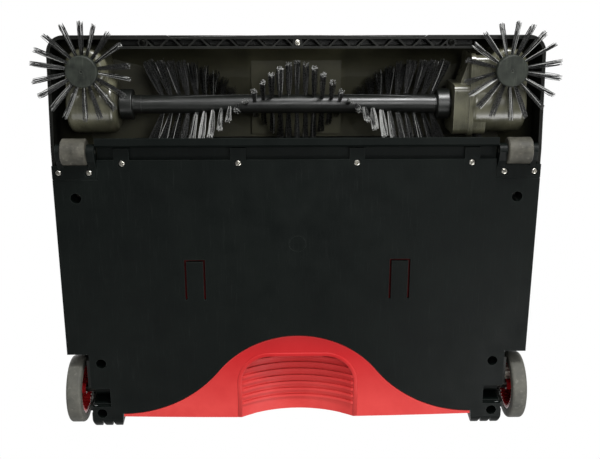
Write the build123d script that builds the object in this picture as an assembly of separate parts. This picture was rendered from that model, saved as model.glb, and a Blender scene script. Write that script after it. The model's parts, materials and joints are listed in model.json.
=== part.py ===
from build123d import *
import math
import os

# Carpet sweeper seen the way it stands in use: +X to the right hand of the person pushing it,
# +Y forwards, +Z up, the floor at z = 0 and the origin under the middle of the whole machine.
# "Behind" values are distances back from the front edge of the hood.

# Body
HALF_WIDTH = 185.0
FRONT_HALF_WIDTH = 182.5
CORNER_RADIUS = 13.0
REAR_BEHIND = 308.0
WALL = 2.5
PLATE_BOTTOM = 11.5
PLATE_THICKNESS = 2.5
HOOD_CROWN = 82.0
RUN_GAP = 0.3
CLOSE_FIT = 0.02
RUNNING_FIT = 0.05
GEAR_PRESSURE_DEG = 20.0
RIM_HALF = 130.0
RIM_RIB_PITCH = 20.5
RIM_RIB_THICKNESS = 1.2
RIM_BOSS_RADIUS = 3.6
RIM_SCREW_XS = (-112.3, 0.0, 112.3)
RIM_SCREW_BEHIND = 5.4

# Main brush
BRUSH_BEHIND = 53.4
BRUSH_AXIS_Z = 34.5
BRUSH_TIP_RADIUS = 33.7
BRUSH_CORE_RADIUS = 7.0
BRUSH_SLEEVE_BORE = 5.5
BRUSH_SLEEVE_RIGHT = 118.0
BRUSH_SLEEVE_LEFT = 104.5
BRUSH_TUFT_PITCH = 6.4
BRUSH_TUFTS_EACH_WAY = 16
BRUSH_TWIST_LENGTH = 77.0
BRUSH_END_LEAN = 10.5
BRUSH_LEAN_FROM = 60.0
BRUSH_LEAN_RUN = 42.0
BRUSH_TUFT_ROOT = 6.4
STRAND_ROOT_WIDTH = 0.5
STRAND_TIP_WIDTH = 0.62
COLLAR_WIDTH = 9.8
COLLAR_RADIUS = 11.6
JOURNAL_RADIUS = 4.0

# Corner brushes
CORNER_X = 156.0
CORNER_BEHIND = 25.0
CORNER_TIP_RADIUS = 37.0
CORNER_TIP_Z = 1.2
CORNER_ROOT_Z = 10.0
CORNER_TUFTS = 18
CORNER_RING_RADIUS = 10.0
CORNER_RING_BORE = 7.0
CORNER_RING_HEIGHT = 4.0
CORNER_TUFT_ROOT = 9.0
CORNER_CAP_RADIUS = 11.6
CORNER_CAP_BOTTOM = 3.4
CORNER_CAP_TOP = 7.8
CORNER_CAP_ROUNDING = 1.2
SPINDLE_RADIUS = 3.0

# Gear pods at the ends of the main brush
POD_INNER_X = 135.4
POD_OUTER_X = 172.0
POD_BOSS_RADIUS = 15.7
POD_DRUM_RADIUS = 21.5
POD_BOTTOM = 16.0
POD_TOP = 53.0
POD_WALL = 2.2
POD_ROUNDING = 5.0
POD_POSTS = ((142.0, 62.0), (165.5, 62.0))
POD_POST_RADIUS = 4.0
POD_LAND_HEIGHT = 5.2
SHOULDER_INNER_X = 117.2
SHOULDER_FRONT = 37.0
SHOULDER_REAR = 74.5
LEFT_POD_INNER_X = 129.0
LEFT_POD_FRONT = 15.4
FLANGE_STAND = 1.4
FLANGE_WIDTH = 3.0
BUSH_RADIUS = 6.5
SPINDLE_BUSH_RADIUS = 5.5
GEAR_TEETH = 12
GEAR_WIDTH = 9.0
CORNER_GEAR_RADIUS = 11.4

# Wheels and drive
WHEEL_RADIUS = 27.4
WHEEL_BEHIND = 289.2
TYRE_INNER_X = 174.6
TYRE_OUTER_X = 186.4
WELL_GAP = 4.0
RIM_RADIUS = 20.5
HUB_RADIUS = 4.6
RIM_HOLES = 6
RIM_HOLE_CIRCLE = 11.5
RIM_HOLE_RADIUS = 3.8
TYRE_ROUNDING = 2.2
AXLE_RADIUS = 3.0
AXLE_HEAD = 1.4
AXLE_BRACKET_XS = (147.0, 167.0)
AXLE_BRACKET_WALL = 4.0
AXLE_BRACKET_TOP = 47.0
DRIVE_MODULE = 1.0
RING_TEETH = 36
PINION_TEETH = 12
PINION_LEAN_DEG = 60.0
PINION_SHAFT_RADIUS = 2.5
BELT_X = 139.8
BELT_WIDTH = 3.0
PULLEY_RADIUS = 7.5
PULLEY_FLANGE_RADIUS = 9.8
PULLEY_WIDTH = 5.0
BELT_THICKNESS = 1.4

# Front rollers
ROLLER_X = 166.5
ROLLER_BEHIND = 85.0
ROLLER_RADIUS = 10.0
ROLLER_WIDTH = 18.2
ROLLER_PIN_RADIUS = 2.0
ROLLER_CHAMFER = 0.8
BRACKET_INNER_X = 151.4
BRACKET_OUTER_X = 185.0
BRACKET_FRONT = 96.2
BRACKET_REAR = 106.6
BRACKET_SCREW_XS = (157.4, 180.3)
BRACKET_SCREW_BEHIND = 101.6

# Base plate
PLATE_FRONT = 91.8
TAB_FRONT = 83.0
LIP_FRONT = 74.2
LIP_HALF = 150.6
NOTCH_FRONT = 251.4
NOTCH_INNER_X = 168.0
AXLE_WINDOW_INNER_X = 152.7
AXLE_WINDOW_FRONT = 282.2
AXLE_WINDOW_REAR = 298.5
TOOTH_REAR = 320.4
TOOTH_XS = (147.8, 156.1, 164.4)
TOOTH_ROOT = 304.0
TOOTH_NOTCH = 311.2
TOOTH_HALF = 4.2
TOOTH_TIP_HALF = 1.9
CHASSIS_HOLES = ((168.5, 121.5), (158.5, 259.8), (160.3, 304.6))
LIP_SCREW_XS = (-132.3, -44.9, 44.9, 132.3)
LIP_SCREW_BEHIND = 94.6
LIP_TAB_HALF = 5.7
TONGUE_X = 80.3
TONGUE_FRONT = 173.2
TONGUE_REAR = 205.0
TONGUE_WIDTH = 13.0
TONGUE_SLOT = 1.7
MARK_BEHIND = 158.4
MARK_RADIUS = 6.8
MARK_INNER_RADIUS = 6.1
TAIL_CREST = 236.0
TAIL_END_X = 143.5
TAIL_END = 304.6
CORNER_REAR = 310.6

# Dust bin
BIN_HALF = 132.0
BIN_FRONT = 88.8
BIN_FASCIA_HALF = 142.7
BIN_REAR = 307.6
TAIL_BOW = 2.0
TAIL_CLEARANCE = 0.8
BIN_TOP = 52.0
BIN_WALL = 2.0
BIN_SILL_Z = 31.0
SCOOP_HALF = 46.0
SCOOP_FRONT = 254.0
SCOOP_DEPTH = 15.0
SCOOP_CORNER = 24.0
SCOOP_RIBS = 7
SCOOP_RIB_PITCH = 5.9
SCOOP_RIB_WIDTH = 2.0
SCOOP_FIRST_RIB = 6.5
RUNNER_XS = (-118.0, -62.0, 62.0, 118.0)
RUNNER_HALF = 2.0

# Handle joint
PIVOT_BEHIND = 170.0
PIVOT_Z = 90.0
PIVOT_PIN_RADIUS = 3.0
PIVOT_PIN_HALF = 33.5
PIVOT_HEAD = 1.2
LUG_INNER_X = 17.5
LUG_OUTER_X = 25.0
LUG_RADIUS = 9.0
FORK_REST_DEG = 6.0
FORK_INNER_X = 25.4
FORK_OUTER_X = 32.0
FORK_DEPTH = 16.0
FORK_BRIDGE_START = 39.0
FORK_CORNER_RADIUS = 9.0
NECK_START = 46.0
SOCKET_BORE_RADIUS = 11.0
SOCKET_RADIUS = 15.0
SOCKET_START = 62.0
SOCKET_END = 120.0

# Values worked out from the driving ones
PLATE_TOP = PLATE_BOTTOM + PLATE_THICKNESS
FRONT_Y = (TOOTH_REAR + CORNER_BEHIND - CORNER_TIP_RADIUS) / 2
SHAFT_GEAR_RADIUS = BRUSH_BEHIND - CORNER_BEHIND - CORNER_GEAR_RADIUS
CORNER_HELIX_DEG = math.degrees(math.atan(CORNER_GEAR_RADIUS / SHAFT_GEAR_RADIUS))
AXLE_END = TYRE_OUTER_X - 0.2
RING_RADIUS = DRIVE_MODULE * RING_TEETH / 2
PINION_RADIUS = DRIVE_MODULE * PINION_TEETH / 2
PINION_OFFSET = RING_RADIUS - PINION_RADIUS
PINION_BEHIND = WHEEL_BEHIND - PINION_OFFSET * math.cos(math.radians(PINION_LEAN_DEG))
PINION_Z = WHEEL_RADIUS + PINION_OFFSET * math.sin(math.radians(PINION_LEAN_DEG))
BIN_FLOOR_Z = PLATE_TOP + 2.9
RAMP_RADIUS = BRUSH_TIP_RADIUS + 1.0
POD_LAND_TOP = BRUSH_AXIS_Z + POD_DRUM_RADIUS + 1.0
BOSS_TOP = 30.0
FORK_REST_Z = PIVOT_Z + FORK_BRIDGE_START * math.tan(math.radians(FORK_REST_DEG)) - FORK_DEPTH / 2 - 0.4


def back(behind):
    return FRONT_Y - behind


def slab(x0, x1, b0, b1, z0, z1):
    centre = Pos((x0 + x1) / 2, back((b0 + b1) / 2), (z0 + z1) / 2)
    return centre * Box(abs(x1 - x0), abs(b1 - b0), abs(z1 - z0))


def rod_x(x0, x1, behind, z, radius):
    return Pos((x0 + x1) / 2, back(behind), z) * Rot(0, 90, 0) * Cylinder(radius, abs(x1 - x0))


def rod_z(x, behind, z0, z1, radius):
    return Pos(x, back(behind), (z0 + z1) / 2) * Cylinder(radius, z1 - z0)


def outline_at(x, edges):
    return Plane.YZ.offset(x) * make_face(edges)


def along_x(edges, x0, x1):
    return extrude(outline_at(x0, edges), x1 - x0)


def polygon(points):
    return Polyline(*points, close=True)


def on_both_sides(make):
    right = make()
    return {"right": right, "left": mirror(right, about=Plane.YZ)}


def gear_points(teeth, module, pressure_deg, addendum, dedendum, thinning):
    pitch = module * teeth / 2
    base = pitch * math.cos(math.radians(pressure_deg))
    half_tooth = math.pi / (2 * teeth) - thinning / (2 * pitch)

    def involute(radius):
        angle = math.acos(min(1.0, base / max(radius, base)))
        return math.tan(angle) - angle

    radii = (pitch - dedendum, max(base, pitch - dedendum / 2), pitch, pitch + addendum)
    points = []
    for tooth in range(teeth):
        middle = 2 * math.pi * tooth / teeth
        for side in (-1, 1):
            for radius in radii if side < 0 else reversed(radii):
                half = half_tooth + involute(pitch) - involute(radius)
                angle = middle + side * half
                points.append((radius * math.cos(angle), radius * math.sin(angle)))
    return points


# Hood: plan outline, side profile and the shell between two insets of both
def hood_plan():
    corner = FRONT_HALF_WIDTH - CORNER_RADIUS
    bend = CORNER_RADIUS * (1 - math.sqrt(0.5))
    front_right = (corner, back(0))
    side_right = (FRONT_HALF_WIDTH, back(CORNER_RADIUS))
    right_bend = (FRONT_HALF_WIDTH - bend, back(bend))
    widest = (HALF_WIDTH, back(ROLLER_BEHIND))
    rear_right = (HALF_WIDTH, back(REAR_BEHIND))

    def flip(point):
        return (-point[0], point[1])

    edges = [
        Line(flip(front_right), front_right),
        ThreePointArc(front_right, right_bend, side_right),
        Polyline(side_right, widest, rear_right, flip(rear_right), flip(widest), flip(side_right)),
        ThreePointArc(flip(side_right), flip(right_bend), flip(front_right)),
    ]
    return make_face(edges)


def hood_profile():
    crown = HOOD_CROWN
    edges = [
        Line((back(0), PLATE_TOP), (back(4), crown - 36)),
        ThreePointArc((back(4), crown - 36), (back(13), crown - 15), (back(38), crown - 4.5)),
        ThreePointArc((back(38), crown - 4.5), (back(112), crown), (back(205), crown - 9)),
        Line((back(205), crown - 9), (back(288), crown - 19)),
        ThreePointArc((back(288), crown - 19), (back(302), crown - 23.5), (back(REAR_BEHIND), crown - 34)),
        Polyline((back(REAR_BEHIND), crown - 34), (back(REAR_BEHIND), PLATE_TOP), (back(0), PLATE_TOP)),
    ]
    return make_face(edges)


def hood_cross_section():
    shoulder_x = HALF_WIDTH - 19
    shoulder_z = HOOD_CROWN - 10
    foot = (HALF_WIDTH, PLATE_TOP)
    bulge = (HALF_WIDTH - 2.5, HOOD_CROWN - 38)
    shoulder = (shoulder_x, shoulder_z)
    edges = [
        Line((-foot[0], foot[1]), foot),
        ThreePointArc(foot, bulge, shoulder),
        ThreePointArc(shoulder, (0, HOOD_CROWN), (-shoulder_x, shoulder_z)),
        ThreePointArc((-shoulder_x, shoulder_z), (-bulge[0], bulge[1]), (-foot[0], foot[1])),
    ]
    return make_face(edges)


def inset_face(face, inset):
    return offset(face, -inset) if inset else face


def hood_volume(inset):
    upright = Pos(0, 0, PLATE_TOP - inset) * extrude(inset_face(hood_plan(), inset), HOOD_CROWN)
    across = extrude(Plane.YZ * inset_face(hood_profile(), inset), 2 * HALF_WIDTH, both=True)
    lengthwise = extrude(Plane.XZ * inset_face(hood_cross_section(), inset), 2 * REAR_BEHIND, both=True)
    volume = upright & across & lengthwise
    if inset:
        volume = volume + Pos(0, 0, -inset) * volume
    return volume


def make_hood():
    solid = hood_volume(0)
    hollow = hood_volume(WALL)
    hood = solid - hollow
    backing = hood_volume(WALL / 2)

    # Front rim: an inner wall, a web above it and zigzag ribs open to the floor
    rim_wall = slab(-RIM_HALF, RIM_HALF, 8.0, 9.6, PLATE_TOP, 34)
    rim_web = slab(-RIM_HALF, RIM_HALF, 1.0, 9.6, 26, 28)
    ribs = []
    cell = RIM_RIB_PITCH
    for step in range(-5, 6):
        foot = 2.6
        for side in (-1, 1):
            start = (step * cell + side * foot, back(8.4))
            end = (step * cell + side * (cell / 2 - 0.6), back(1.6))
            middle = ((start[0] + end[0]) / 2, (start[1] + end[1]) / 2)
            run = math.dist(start, end)
            turn = math.degrees(math.atan2(end[1] - start[1], end[0] - start[0]))
            plate = Pos(middle[0], middle[1], 21) * Rot(0, 0, turn) * Box(run, RIM_RIB_THICKNESS, 11)
            ribs.append(plate)
    bosses = [rod_z(x, RIM_SCREW_BEHIND, PLATE_TOP + 1.5, 27, RIM_BOSS_RADIUS) for x in RIM_SCREW_XS]
    baffle = slab(-BIN_HALF, BIN_HALF, 87.5, 89.5, BIN_TOP + 3, HOOD_CROWN)
    pocket_roof = slab(-36, 36, 24, 84, HOOD_CROWN - 9.5, HOOD_CROWN)
    pillars = []
    for x, behind in CHASSIS_HOLES:
        for side in (-1, 1):
            pillars.append(rod_z(side * x, behind, BOSS_TOP + 0.1, HOOD_CROWN, 5.0))
    posts = []
    for side in (-1, 1):
        for x, behind in POD_POSTS:
            posts.append(rod_z(side * x, behind, POD_LAND_TOP + 0.1, HOOD_CROWN, POD_POST_RADIUS))
    wells = []
    for side in (-1, 1):
        tunnel = rod_x(side * (NOTCH_INNER_X + 0.5), side * HALF_WIDTH, WHEEL_BEHIND, WHEEL_RADIUS,
                       WHEEL_RADIUS + WELL_GAP + WALL)
        wells.append(tunnel)
    fittings = rim_wall + rim_web + ribs + bosses + baffle + pocket_roof + pillars + posts + wells
    hood = hood + (fittings & backing)

    # Wheel wells, bin opening, screw pilots and the holes of the axles
    for side in (-1, 1):
        tyre_room = rod_x(side * (NOTCH_INNER_X + 2.5), side * 200, WHEEL_BEHIND, WHEEL_RADIUS,
                          WHEEL_RADIUS + WELL_GAP)
        hood = hood - tyre_room
        hood = hood - slab(side * (NOTCH_INNER_X + 2.5), side * 200, NOTCH_FRONT, 330, 0, WHEEL_RADIUS)
        hood = hood - slab(side * NOTCH_INNER_X, side * (NOTCH_INNER_X + 3), AXLE_WINDOW_FRONT,
                           AXLE_WINDOW_REAR, 0, WHEEL_RADIUS)
        hood = hood - rod_x(side * 150, side * 180, WHEEL_BEHIND, WHEEL_RADIUS, 5.2)
        for x, behind in CHASSIS_HOLES:
            hood = hood - rod_z(side * x, behind, 0, BOSS_TOP + 14, 1.5)
    hood = hood - rod_x(-150, -180, PINION_BEHIND, PINION_Z, 7.6)
    hood = hood - slab(-146, 146, 300, 320, 0, BIN_TOP + 1)
    for side in (-1, 1):
        hood = hood - slab(side * 146, side * 190, 303, 330, 0, 38)
    for x in RIM_SCREW_XS:
        hood = hood - rod_z(x, RIM_SCREW_BEHIND, 0, 25, 1.4)

    # Bowed middle of the front edge, two millimetres behind the corner lobes
    bow = make_face(
        [
            ThreePointArc((-92, back(1.9)), (0, back(0.1)), (92, back(1.9))),
            Polyline((92, back(1.9)), (95, back(0)), (95, back(-6)), (-95, back(-6)), (-95, back(0)),
                     (-92, back(1.9))),
        ]
    )
    hood = hood - Pos(0, 0, PLATE_TOP - 1) * extrude(bow, 4)

    # Lugs that carry the handle fork
    for side in (-1, 1):
        lug = rod_x(side * LUG_INNER_X, side * LUG_OUTER_X, PIVOT_BEHIND, PIVOT_Z, LUG_RADIUS)
        lug = lug + slab(side * LUG_INNER_X, side * LUG_OUTER_X, PIVOT_BEHIND - LUG_RADIUS,
                         PIVOT_BEHIND + LUG_RADIUS, 70, PIVOT_Z)
        hood = hood + (lug - hollow)
    rest = slab(-11, 11, PIVOT_BEHIND + FORK_BRIDGE_START, PIVOT_BEHIND + 44, 66, FORK_REST_Z)
    hood = hood + (rest - hollow)
    return hood - rod_x(-30, 30, PIVOT_BEHIND, PIVOT_Z, PIVOT_PIN_RADIUS + 0.03)


# Base plate with its tongues, posts, rails, rear corners and their toes
def tail_curve(shift):
    crest = (0, back(TAIL_CREST + shift))
    right = [(62.4, 264.9), (99.0, 294.6), (TAIL_END_X, TAIL_END)]
    points = [(x, back(behind + shift)) for x, behind in right]
    left = [(-x, y) for x, y in points]
    return [
        ThreePointArc(left[2], left[1], left[0]),
        ThreePointArc(left[0], crest, points[0]),
        ThreePointArc(points[0], points[1], points[2]),
    ]


def make_base_plate():
    right = [
        (BRACKET_INNER_X - 0.4, PLATE_FRONT),
        (BRACKET_INNER_X - 0.4, BRACKET_REAR + 0.5),
        (HALF_WIDTH, BRACKET_REAR + 0.5),
        (HALF_WIDTH, NOTCH_FRONT),
        (NOTCH_INNER_X, NOTCH_FRONT),
        (NOTCH_INNER_X, CORNER_REAR),
        (TAIL_END_X, CORNER_REAR),
        (TAIL_END_X, TAIL_END),
    ]
    points = [(x, back(behind)) for x, behind in right]
    left = [(-x, y) for x, y in reversed(points)]
    sheet = make_face([Polyline(*left, *points), *tail_curve(0)])
    plate = Pos(0, 0, PLATE_BOTTOM) * extrude(sheet, PLATE_THICKNESS)
    for side in (-1, 1):
        plate = plate - slab(side * AXLE_WINDOW_INNER_X, side * 170, AXLE_WINDOW_FRONT,
                             AXLE_WINDOW_REAR, 0, 20)
        ledge = slab(side * BRACKET_INNER_X, side * 182, BRACKET_FRONT, 113, PLATE_TOP + 0.05,
                     PLATE_TOP + 2.5)
        foot = slab(side * BRACKET_INNER_X, side * 182, BRACKET_REAR + 1, 113, PLATE_TOP - 1, PLATE_TOP + 1)
        plate = plate + ledge + foot
        plate = plate + slab(side * 133.4, side * 135.2, 112, 250, PLATE_TOP - 1, PLATE_TOP + 6)
        wall = slab(side * TAIL_END_X, side * (NOTCH_INNER_X - 0.4), CORNER_REAR - 2.4, CORNER_REAR,
                    PLATE_TOP - 1, 36)
        plate = plate + wall
        for x in TOOTH_XS:
            fin = [
                Line((back(TOOTH_ROOT), PLATE_BOTTOM), (back(309), PLATE_BOTTOM)),
                ThreePointArc((back(309), PLATE_BOTTOM), (back(316), 14.6), (back(TOOTH_REAR), 22)),
                Polyline((back(TOOTH_REAR), 22), (back(317), 30), (back(310), 34),
                         (back(TOOTH_ROOT), PLATE_TOP), (back(TOOTH_ROOT), PLATE_BOTTOM)),
            ]
            middle = side * x
            outline = [
                (middle - TOOTH_HALF, back(TOOTH_ROOT - 1)),
                (middle - TOOTH_HALF, back(TOOTH_NOTCH)),
                (middle - TOOTH_TIP_HALF, back(TOOTH_REAR + 1)),
                (middle + TOOTH_TIP_HALF, back(TOOTH_REAR + 1)),
                (middle + TOOTH_HALF, back(TOOTH_NOTCH)),
                (middle + TOOTH_HALF, back(TOOTH_ROOT - 1)),
            ]
            tooth = along_x(fin, middle - TOOTH_HALF, middle + TOOTH_HALF)
            plate = plate + (tooth & extrude(make_face(polygon(outline)), 60))
        for x, behind in CHASSIS_HOLES:
            plate = plate + rod_z(side * x, behind, PLATE_TOP - 1, BOSS_TOP, 5.8)
            plate = plate - rod_z(side * x, behind, 0, BOSS_TOP - 2, 4.1)
            plate = plate - rod_z(side * x, behind, 0, BOSS_TOP + 1, 1.7)
        for x in BRACKET_SCREW_XS:
            plate = plate - rod_z(side * x, BRACKET_SCREW_BEHIND, 0, 30, 1.3)
    for x in LIP_SCREW_XS:
        plate = plate + slab(x - LIP_TAB_HALF, x + LIP_TAB_HALF, TAB_FRONT, PLATE_FRONT + 1,
                             PLATE_BOTTOM, PLATE_TOP)
        plate = plate - rod_z(x, LIP_SCREW_BEHIND, 0, PLATE_BOTTOM + 1.5, 3.1)
        plate = plate - rod_z(x, LIP_SCREW_BEHIND, 0, 30, 1.3)
    for side in (-1, 1):
        slot = TONGUE_SLOT
        middle = side * TONGUE_X
        half = TONGUE_WIDTH / 2
        for edge in (-1, 1):
            inner = middle + edge * half
            plate = plate - slab(inner, inner + edge * slot, TONGUE_FRONT - slot, TONGUE_REAR, 0, 20)
        plate = plate - slab(middle - half, middle + half, TONGUE_FRONT - slot, TONGUE_FRONT, 0, 20)
        bump = rod_x(middle - 4, middle + 4, TONGUE_FRONT + 4, PLATE_TOP - 0.6, 1.6)
        plate = plate + bump
    mark = rod_z(0, MARK_BEHIND, 0, PLATE_BOTTOM + 0.4, MARK_RADIUS)
    mark = mark - rod_z(0, MARK_BEHIND, 0, PLATE_BOTTOM + 1, MARK_INNER_RADIUS)
    return plate - mark


def make_lip():
    rise = math.sqrt(RAMP_RADIUS**2 - (LIP_FRONT - BRUSH_BEHIND) ** 2)
    front_top = (back(LIP_FRONT), BRUSH_AXIS_Z - rise)
    web_top = PLATE_TOP + 2.2
    reach = math.sqrt(RAMP_RADIUS**2 - (BRUSH_AXIS_Z - web_top) ** 2)
    crest = (back(BRUSH_BEHIND + reach), web_top)
    lean = (math.atan2(front_top[1] - BRUSH_AXIS_Z, front_top[0] - back(BRUSH_BEHIND))
            + math.atan2(crest[1] - BRUSH_AXIS_Z, crest[0] - back(BRUSH_BEHIND))) / 2
    middle = (back(BRUSH_BEHIND) + RAMP_RADIUS * math.cos(lean),
              BRUSH_AXIS_Z + RAMP_RADIUS * math.sin(lean))
    section = [
        ThreePointArc(front_top, middle, crest),
        Polyline(crest, (back(98), web_top), (back(98), PLATE_TOP + 0.1), (back(81.5), PLATE_TOP + 0.1),
                 (back(81.5), 9.0), (back(79.5), 6.2), (back(LIP_FRONT), 5.7), front_top),
    ]
    lip = along_x(section, -LIP_HALF, LIP_HALF)
    for x in LIP_SCREW_XS:
        lip = lip - rod_z(x, LIP_SCREW_BEHIND, 0, 30, 1.2)
    return lip


def make_screw(x, behind, z, head_radius, head_height, shank_radius, length):
    head = rod_z(x, behind, z, z + head_height, head_radius)
    head = fillet(head.edges().sort_by(Axis.Z)[0], head_height * 0.55)
    return head + rod_z(x, behind, z + head_height, z + head_height + length, shank_radius)


def make_bracket():
    strap = slab(BRACKET_INNER_X, BRACKET_OUTER_X, BRACKET_FRONT, BRACKET_REAR, PLATE_BOTTOM, PLATE_TOP)
    half = ROLLER_WIDTH / 2 + RUN_GAP
    bracket = strap
    for x0, x1 in ((BRACKET_INNER_X, ROLLER_X - half), (ROLLER_X + half, ROLLER_X + half + 4.2)):
        ear = [
            ThreePointArc((back(85), 4.4), (back(79.4), ROLLER_RADIUS), (back(85), 15.6)),
            Polyline((back(85), 15.6), (back(92), 16.6), (back(96), 16.6),
                     (back(BRACKET_FRONT), PLATE_BOTTOM), (back(98), PLATE_BOTTOM),
                     (back(92), 6.5), (back(85), 4.4)),
        ]
        bracket = bracket + along_x(ear, x0, x1)
        bracket = bracket - rod_x(x0 - 1, x1 + 1, ROLLER_BEHIND, ROLLER_RADIUS, ROLLER_PIN_RADIUS + CLOSE_FIT)
    for x in BRACKET_SCREW_XS:
        bracket = bracket - rod_z(x, BRACKET_SCREW_BEHIND, 0, PLATE_BOTTOM + 1.4, 3.1)
        bracket = bracket - rod_z(x, BRACKET_SCREW_BEHIND, 0, 20, 1.4)
    return bracket


def make_front_roller():
    half = ROLLER_WIDTH / 2
    roller = rod_x(ROLLER_X - half, ROLLER_X + half, ROLLER_BEHIND, ROLLER_RADIUS, ROLLER_RADIUS)
    roller = chamfer(roller.edges().filter_by(GeomType.CIRCLE), ROLLER_CHAMFER)
    bore = rod_x(ROLLER_X - 20, ROLLER_X + 20, ROLLER_BEHIND, ROLLER_RADIUS, ROLLER_PIN_RADIUS + RUNNING_FIT)
    return roller - bore


def make_roller_pin():
    half = ROLLER_WIDTH / 2 + RUN_GAP + 4.0
    return rod_x(BRACKET_INNER_X + 0.2, ROLLER_X + half, ROLLER_BEHIND, ROLLER_RADIUS, ROLLER_PIN_RADIUS)


# Gear pods: a drum round the brush shaft, a boss round the corner spindle, split on the shaft's level
def pod_volume(inner_x, inset):
    drum = rod_x(inner_x + inset, POD_OUTER_X - inset, BRUSH_BEHIND, BRUSH_AXIS_Z, POD_DRUM_RADIUS - inset)
    drum = fillet(drum.edges().filter_by(GeomType.CIRCLE), POD_ROUNDING - inset)
    boss = rod_z(CORNER_X, CORNER_BEHIND, POD_BOTTOM + inset, POD_TOP - inset, POD_BOSS_RADIUS - inset)
    boss = fillet(boss.edges().filter_by(GeomType.CIRCLE), POD_ROUNDING - inset)
    width = 2 * (POD_BOSS_RADIUS - inset)
    bridge = slab(CORNER_X - width / 2, CORNER_X + width / 2, CORNER_BEHIND, BRUSH_BEHIND,
                  POD_BOTTOM + POD_ROUNDING + inset, POD_TOP - POD_ROUNDING - inset)
    return drum + boss + bridge


def rounded_block(x0, x1, b0, b1, inset):
    block = slab(x0 + inset, x1, b0 + inset, b1 - inset, POD_BOTTOM + inset, POD_TOP - inset)
    return fillet(block.edges().filter_by(Axis.X), POD_ROUNDING - inset)


def left_pod_volume(inset):
    shoulder = rounded_block(SHOULDER_INNER_X, POD_INNER_X + 6, SHOULDER_FRONT, SHOULDER_REAR, inset)
    cheek = rounded_block(LEFT_POD_INNER_X, CORNER_X, LEFT_POD_FRONT, BRUSH_BEHIND, inset)
    return pod_volume(LEFT_POD_INNER_X, inset) + shoulder + cheek


def bore_pod(pod, inner_x):
    pod = pod - rod_x(inner_x - 1, inner_x + 4, BRUSH_BEHIND, BRUSH_AXIS_Z, BUSH_RADIUS)
    pod = pod - rod_x(POD_OUTER_X - 8, POD_OUTER_X - POD_WALL - 0.1, BRUSH_BEHIND, BRUSH_AXIS_Z,
                      BUSH_RADIUS)
    pod = pod - rod_z(CORNER_X, CORNER_BEHIND, POD_BOTTOM - 4, POD_BOTTOM + 8, SPINDLE_BUSH_RADIUS)
    pod = pod - rod_z(CORNER_X, CORNER_BEHIND, POD_TOP - 10, POD_TOP - POD_WALL - 0.1, SPINDLE_BUSH_RADIUS)
    for x, behind in POD_POSTS:
        pod = pod - rod_z(x, behind, POD_LAND_TOP - POD_LAND_HEIGHT - 3, POD_LAND_TOP + 1, 1.6)
    return pod


def pod_bosses():
    outer = rod_x(POD_OUTER_X - 6.5, POD_OUTER_X - 1, BRUSH_BEHIND, BRUSH_AXIS_Z, BUSH_RADIUS + 2.5)
    neck = rod_z(CORNER_X, CORNER_BEHIND, POD_BOTTOM - 2.6, POD_BOTTOM + 5.0, SPINDLE_BUSH_RADIUS + 2.9)
    cup = rod_z(CORNER_X, CORNER_BEHIND, POD_TOP - 8.0, POD_TOP - 1.0, SPINDLE_BUSH_RADIUS + 2.5)
    lands = []
    for x, behind in POD_POSTS:
        lands.append(rod_z(x, behind, POD_LAND_TOP - POD_LAND_HEIGHT, POD_LAND_TOP, POD_POST_RADIUS))
    return outer + neck + cup + lands


def make_right_pod():
    pod = pod_volume(POD_INNER_X, 0) - pod_volume(POD_INNER_X, POD_WALL) + pod_bosses()
    return bore_pod(pod, POD_INNER_X)


def make_left_pod():
    start = LEFT_POD_INNER_X - 0.5
    stand = FLANGE_STAND
    flange = slab(start, start + FLANGE_WIDTH, LEFT_POD_FRONT - stand, SHOULDER_REAR + stand,
                  POD_BOTTOM - stand, POD_TOP + stand)
    flange = fillet(flange.edges().filter_by(Axis.X), POD_ROUNDING + stand)
    gusset = make_face(polygon([(SHOULDER_INNER_X + 4.8, back(SHOULDER_FRONT + 2)),
                                (start + 0.5, back(LEFT_POD_FRONT + 1)),
                                (start + 0.5, back(SHOULDER_FRONT + 2))]))
    gusset = Pos(0, 0, POD_BOTTOM + 8) * extrude(gusset, POD_TOP - POD_BOTTOM - 16)
    pod = left_pod_volume(0) + flange + gusset - left_pod_volume(POD_WALL)
    pod = bore_pod(pod + pod_bosses(), SHOULDER_INNER_X)
    reach = BELT_WIDTH / 2 + 2.7
    rear = BRUSH_BEHIND + POD_DRUM_RADIUS + 2
    window = slab(BELT_X - reach, BELT_X + reach, BRUSH_BEHIND + 5, rear, PINION_Z - 12.5, PINION_Z + 11)
    return mirror(pod - window, about=Plane.YZ)


def below_split(pod):
    return pod & Pos(0, 0, BRUSH_AXIS_Z - 50) * Box(400, 400, 100)


def above_split(pod):
    return pod & Pos(0, 0, BRUSH_AXIS_Z + 50) * Box(400, 400, 100)


def make_brush_bushes(inner_x):
    bushes = []
    for x0, x1 in ((inner_x - 0.8, inner_x + 2.9), (POD_OUTER_X - 6.4, POD_OUTER_X - POD_WALL - 0.3)):
        ring = rod_x(x0, x1, BRUSH_BEHIND, BRUSH_AXIS_Z, BUSH_RADIUS - CLOSE_FIT)
        bore = rod_x(x0 - 1, x1 + 1, BRUSH_BEHIND, BRUSH_AXIS_Z, JOURNAL_RADIUS + RUNNING_FIT)
        bushes.append(ring - bore)
    return Compound(bushes)


def make_spindle_bushes():
    bushes = []
    for z0, z1 in ((POD_BOTTOM - 2.4, POD_BOTTOM + 4.8), (POD_TOP - 7.8, POD_TOP - POD_WALL - 0.3)):
        ring = rod_z(CORNER_X, CORNER_BEHIND, z0, z1, SPINDLE_BUSH_RADIUS - CLOSE_FIT)
        bushes.append(ring - rod_z(CORNER_X, CORNER_BEHIND, z0 - 1, z1 + 1, SPINDLE_RADIUS + RUNNING_FIT))
    return Compound(bushes)


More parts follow.
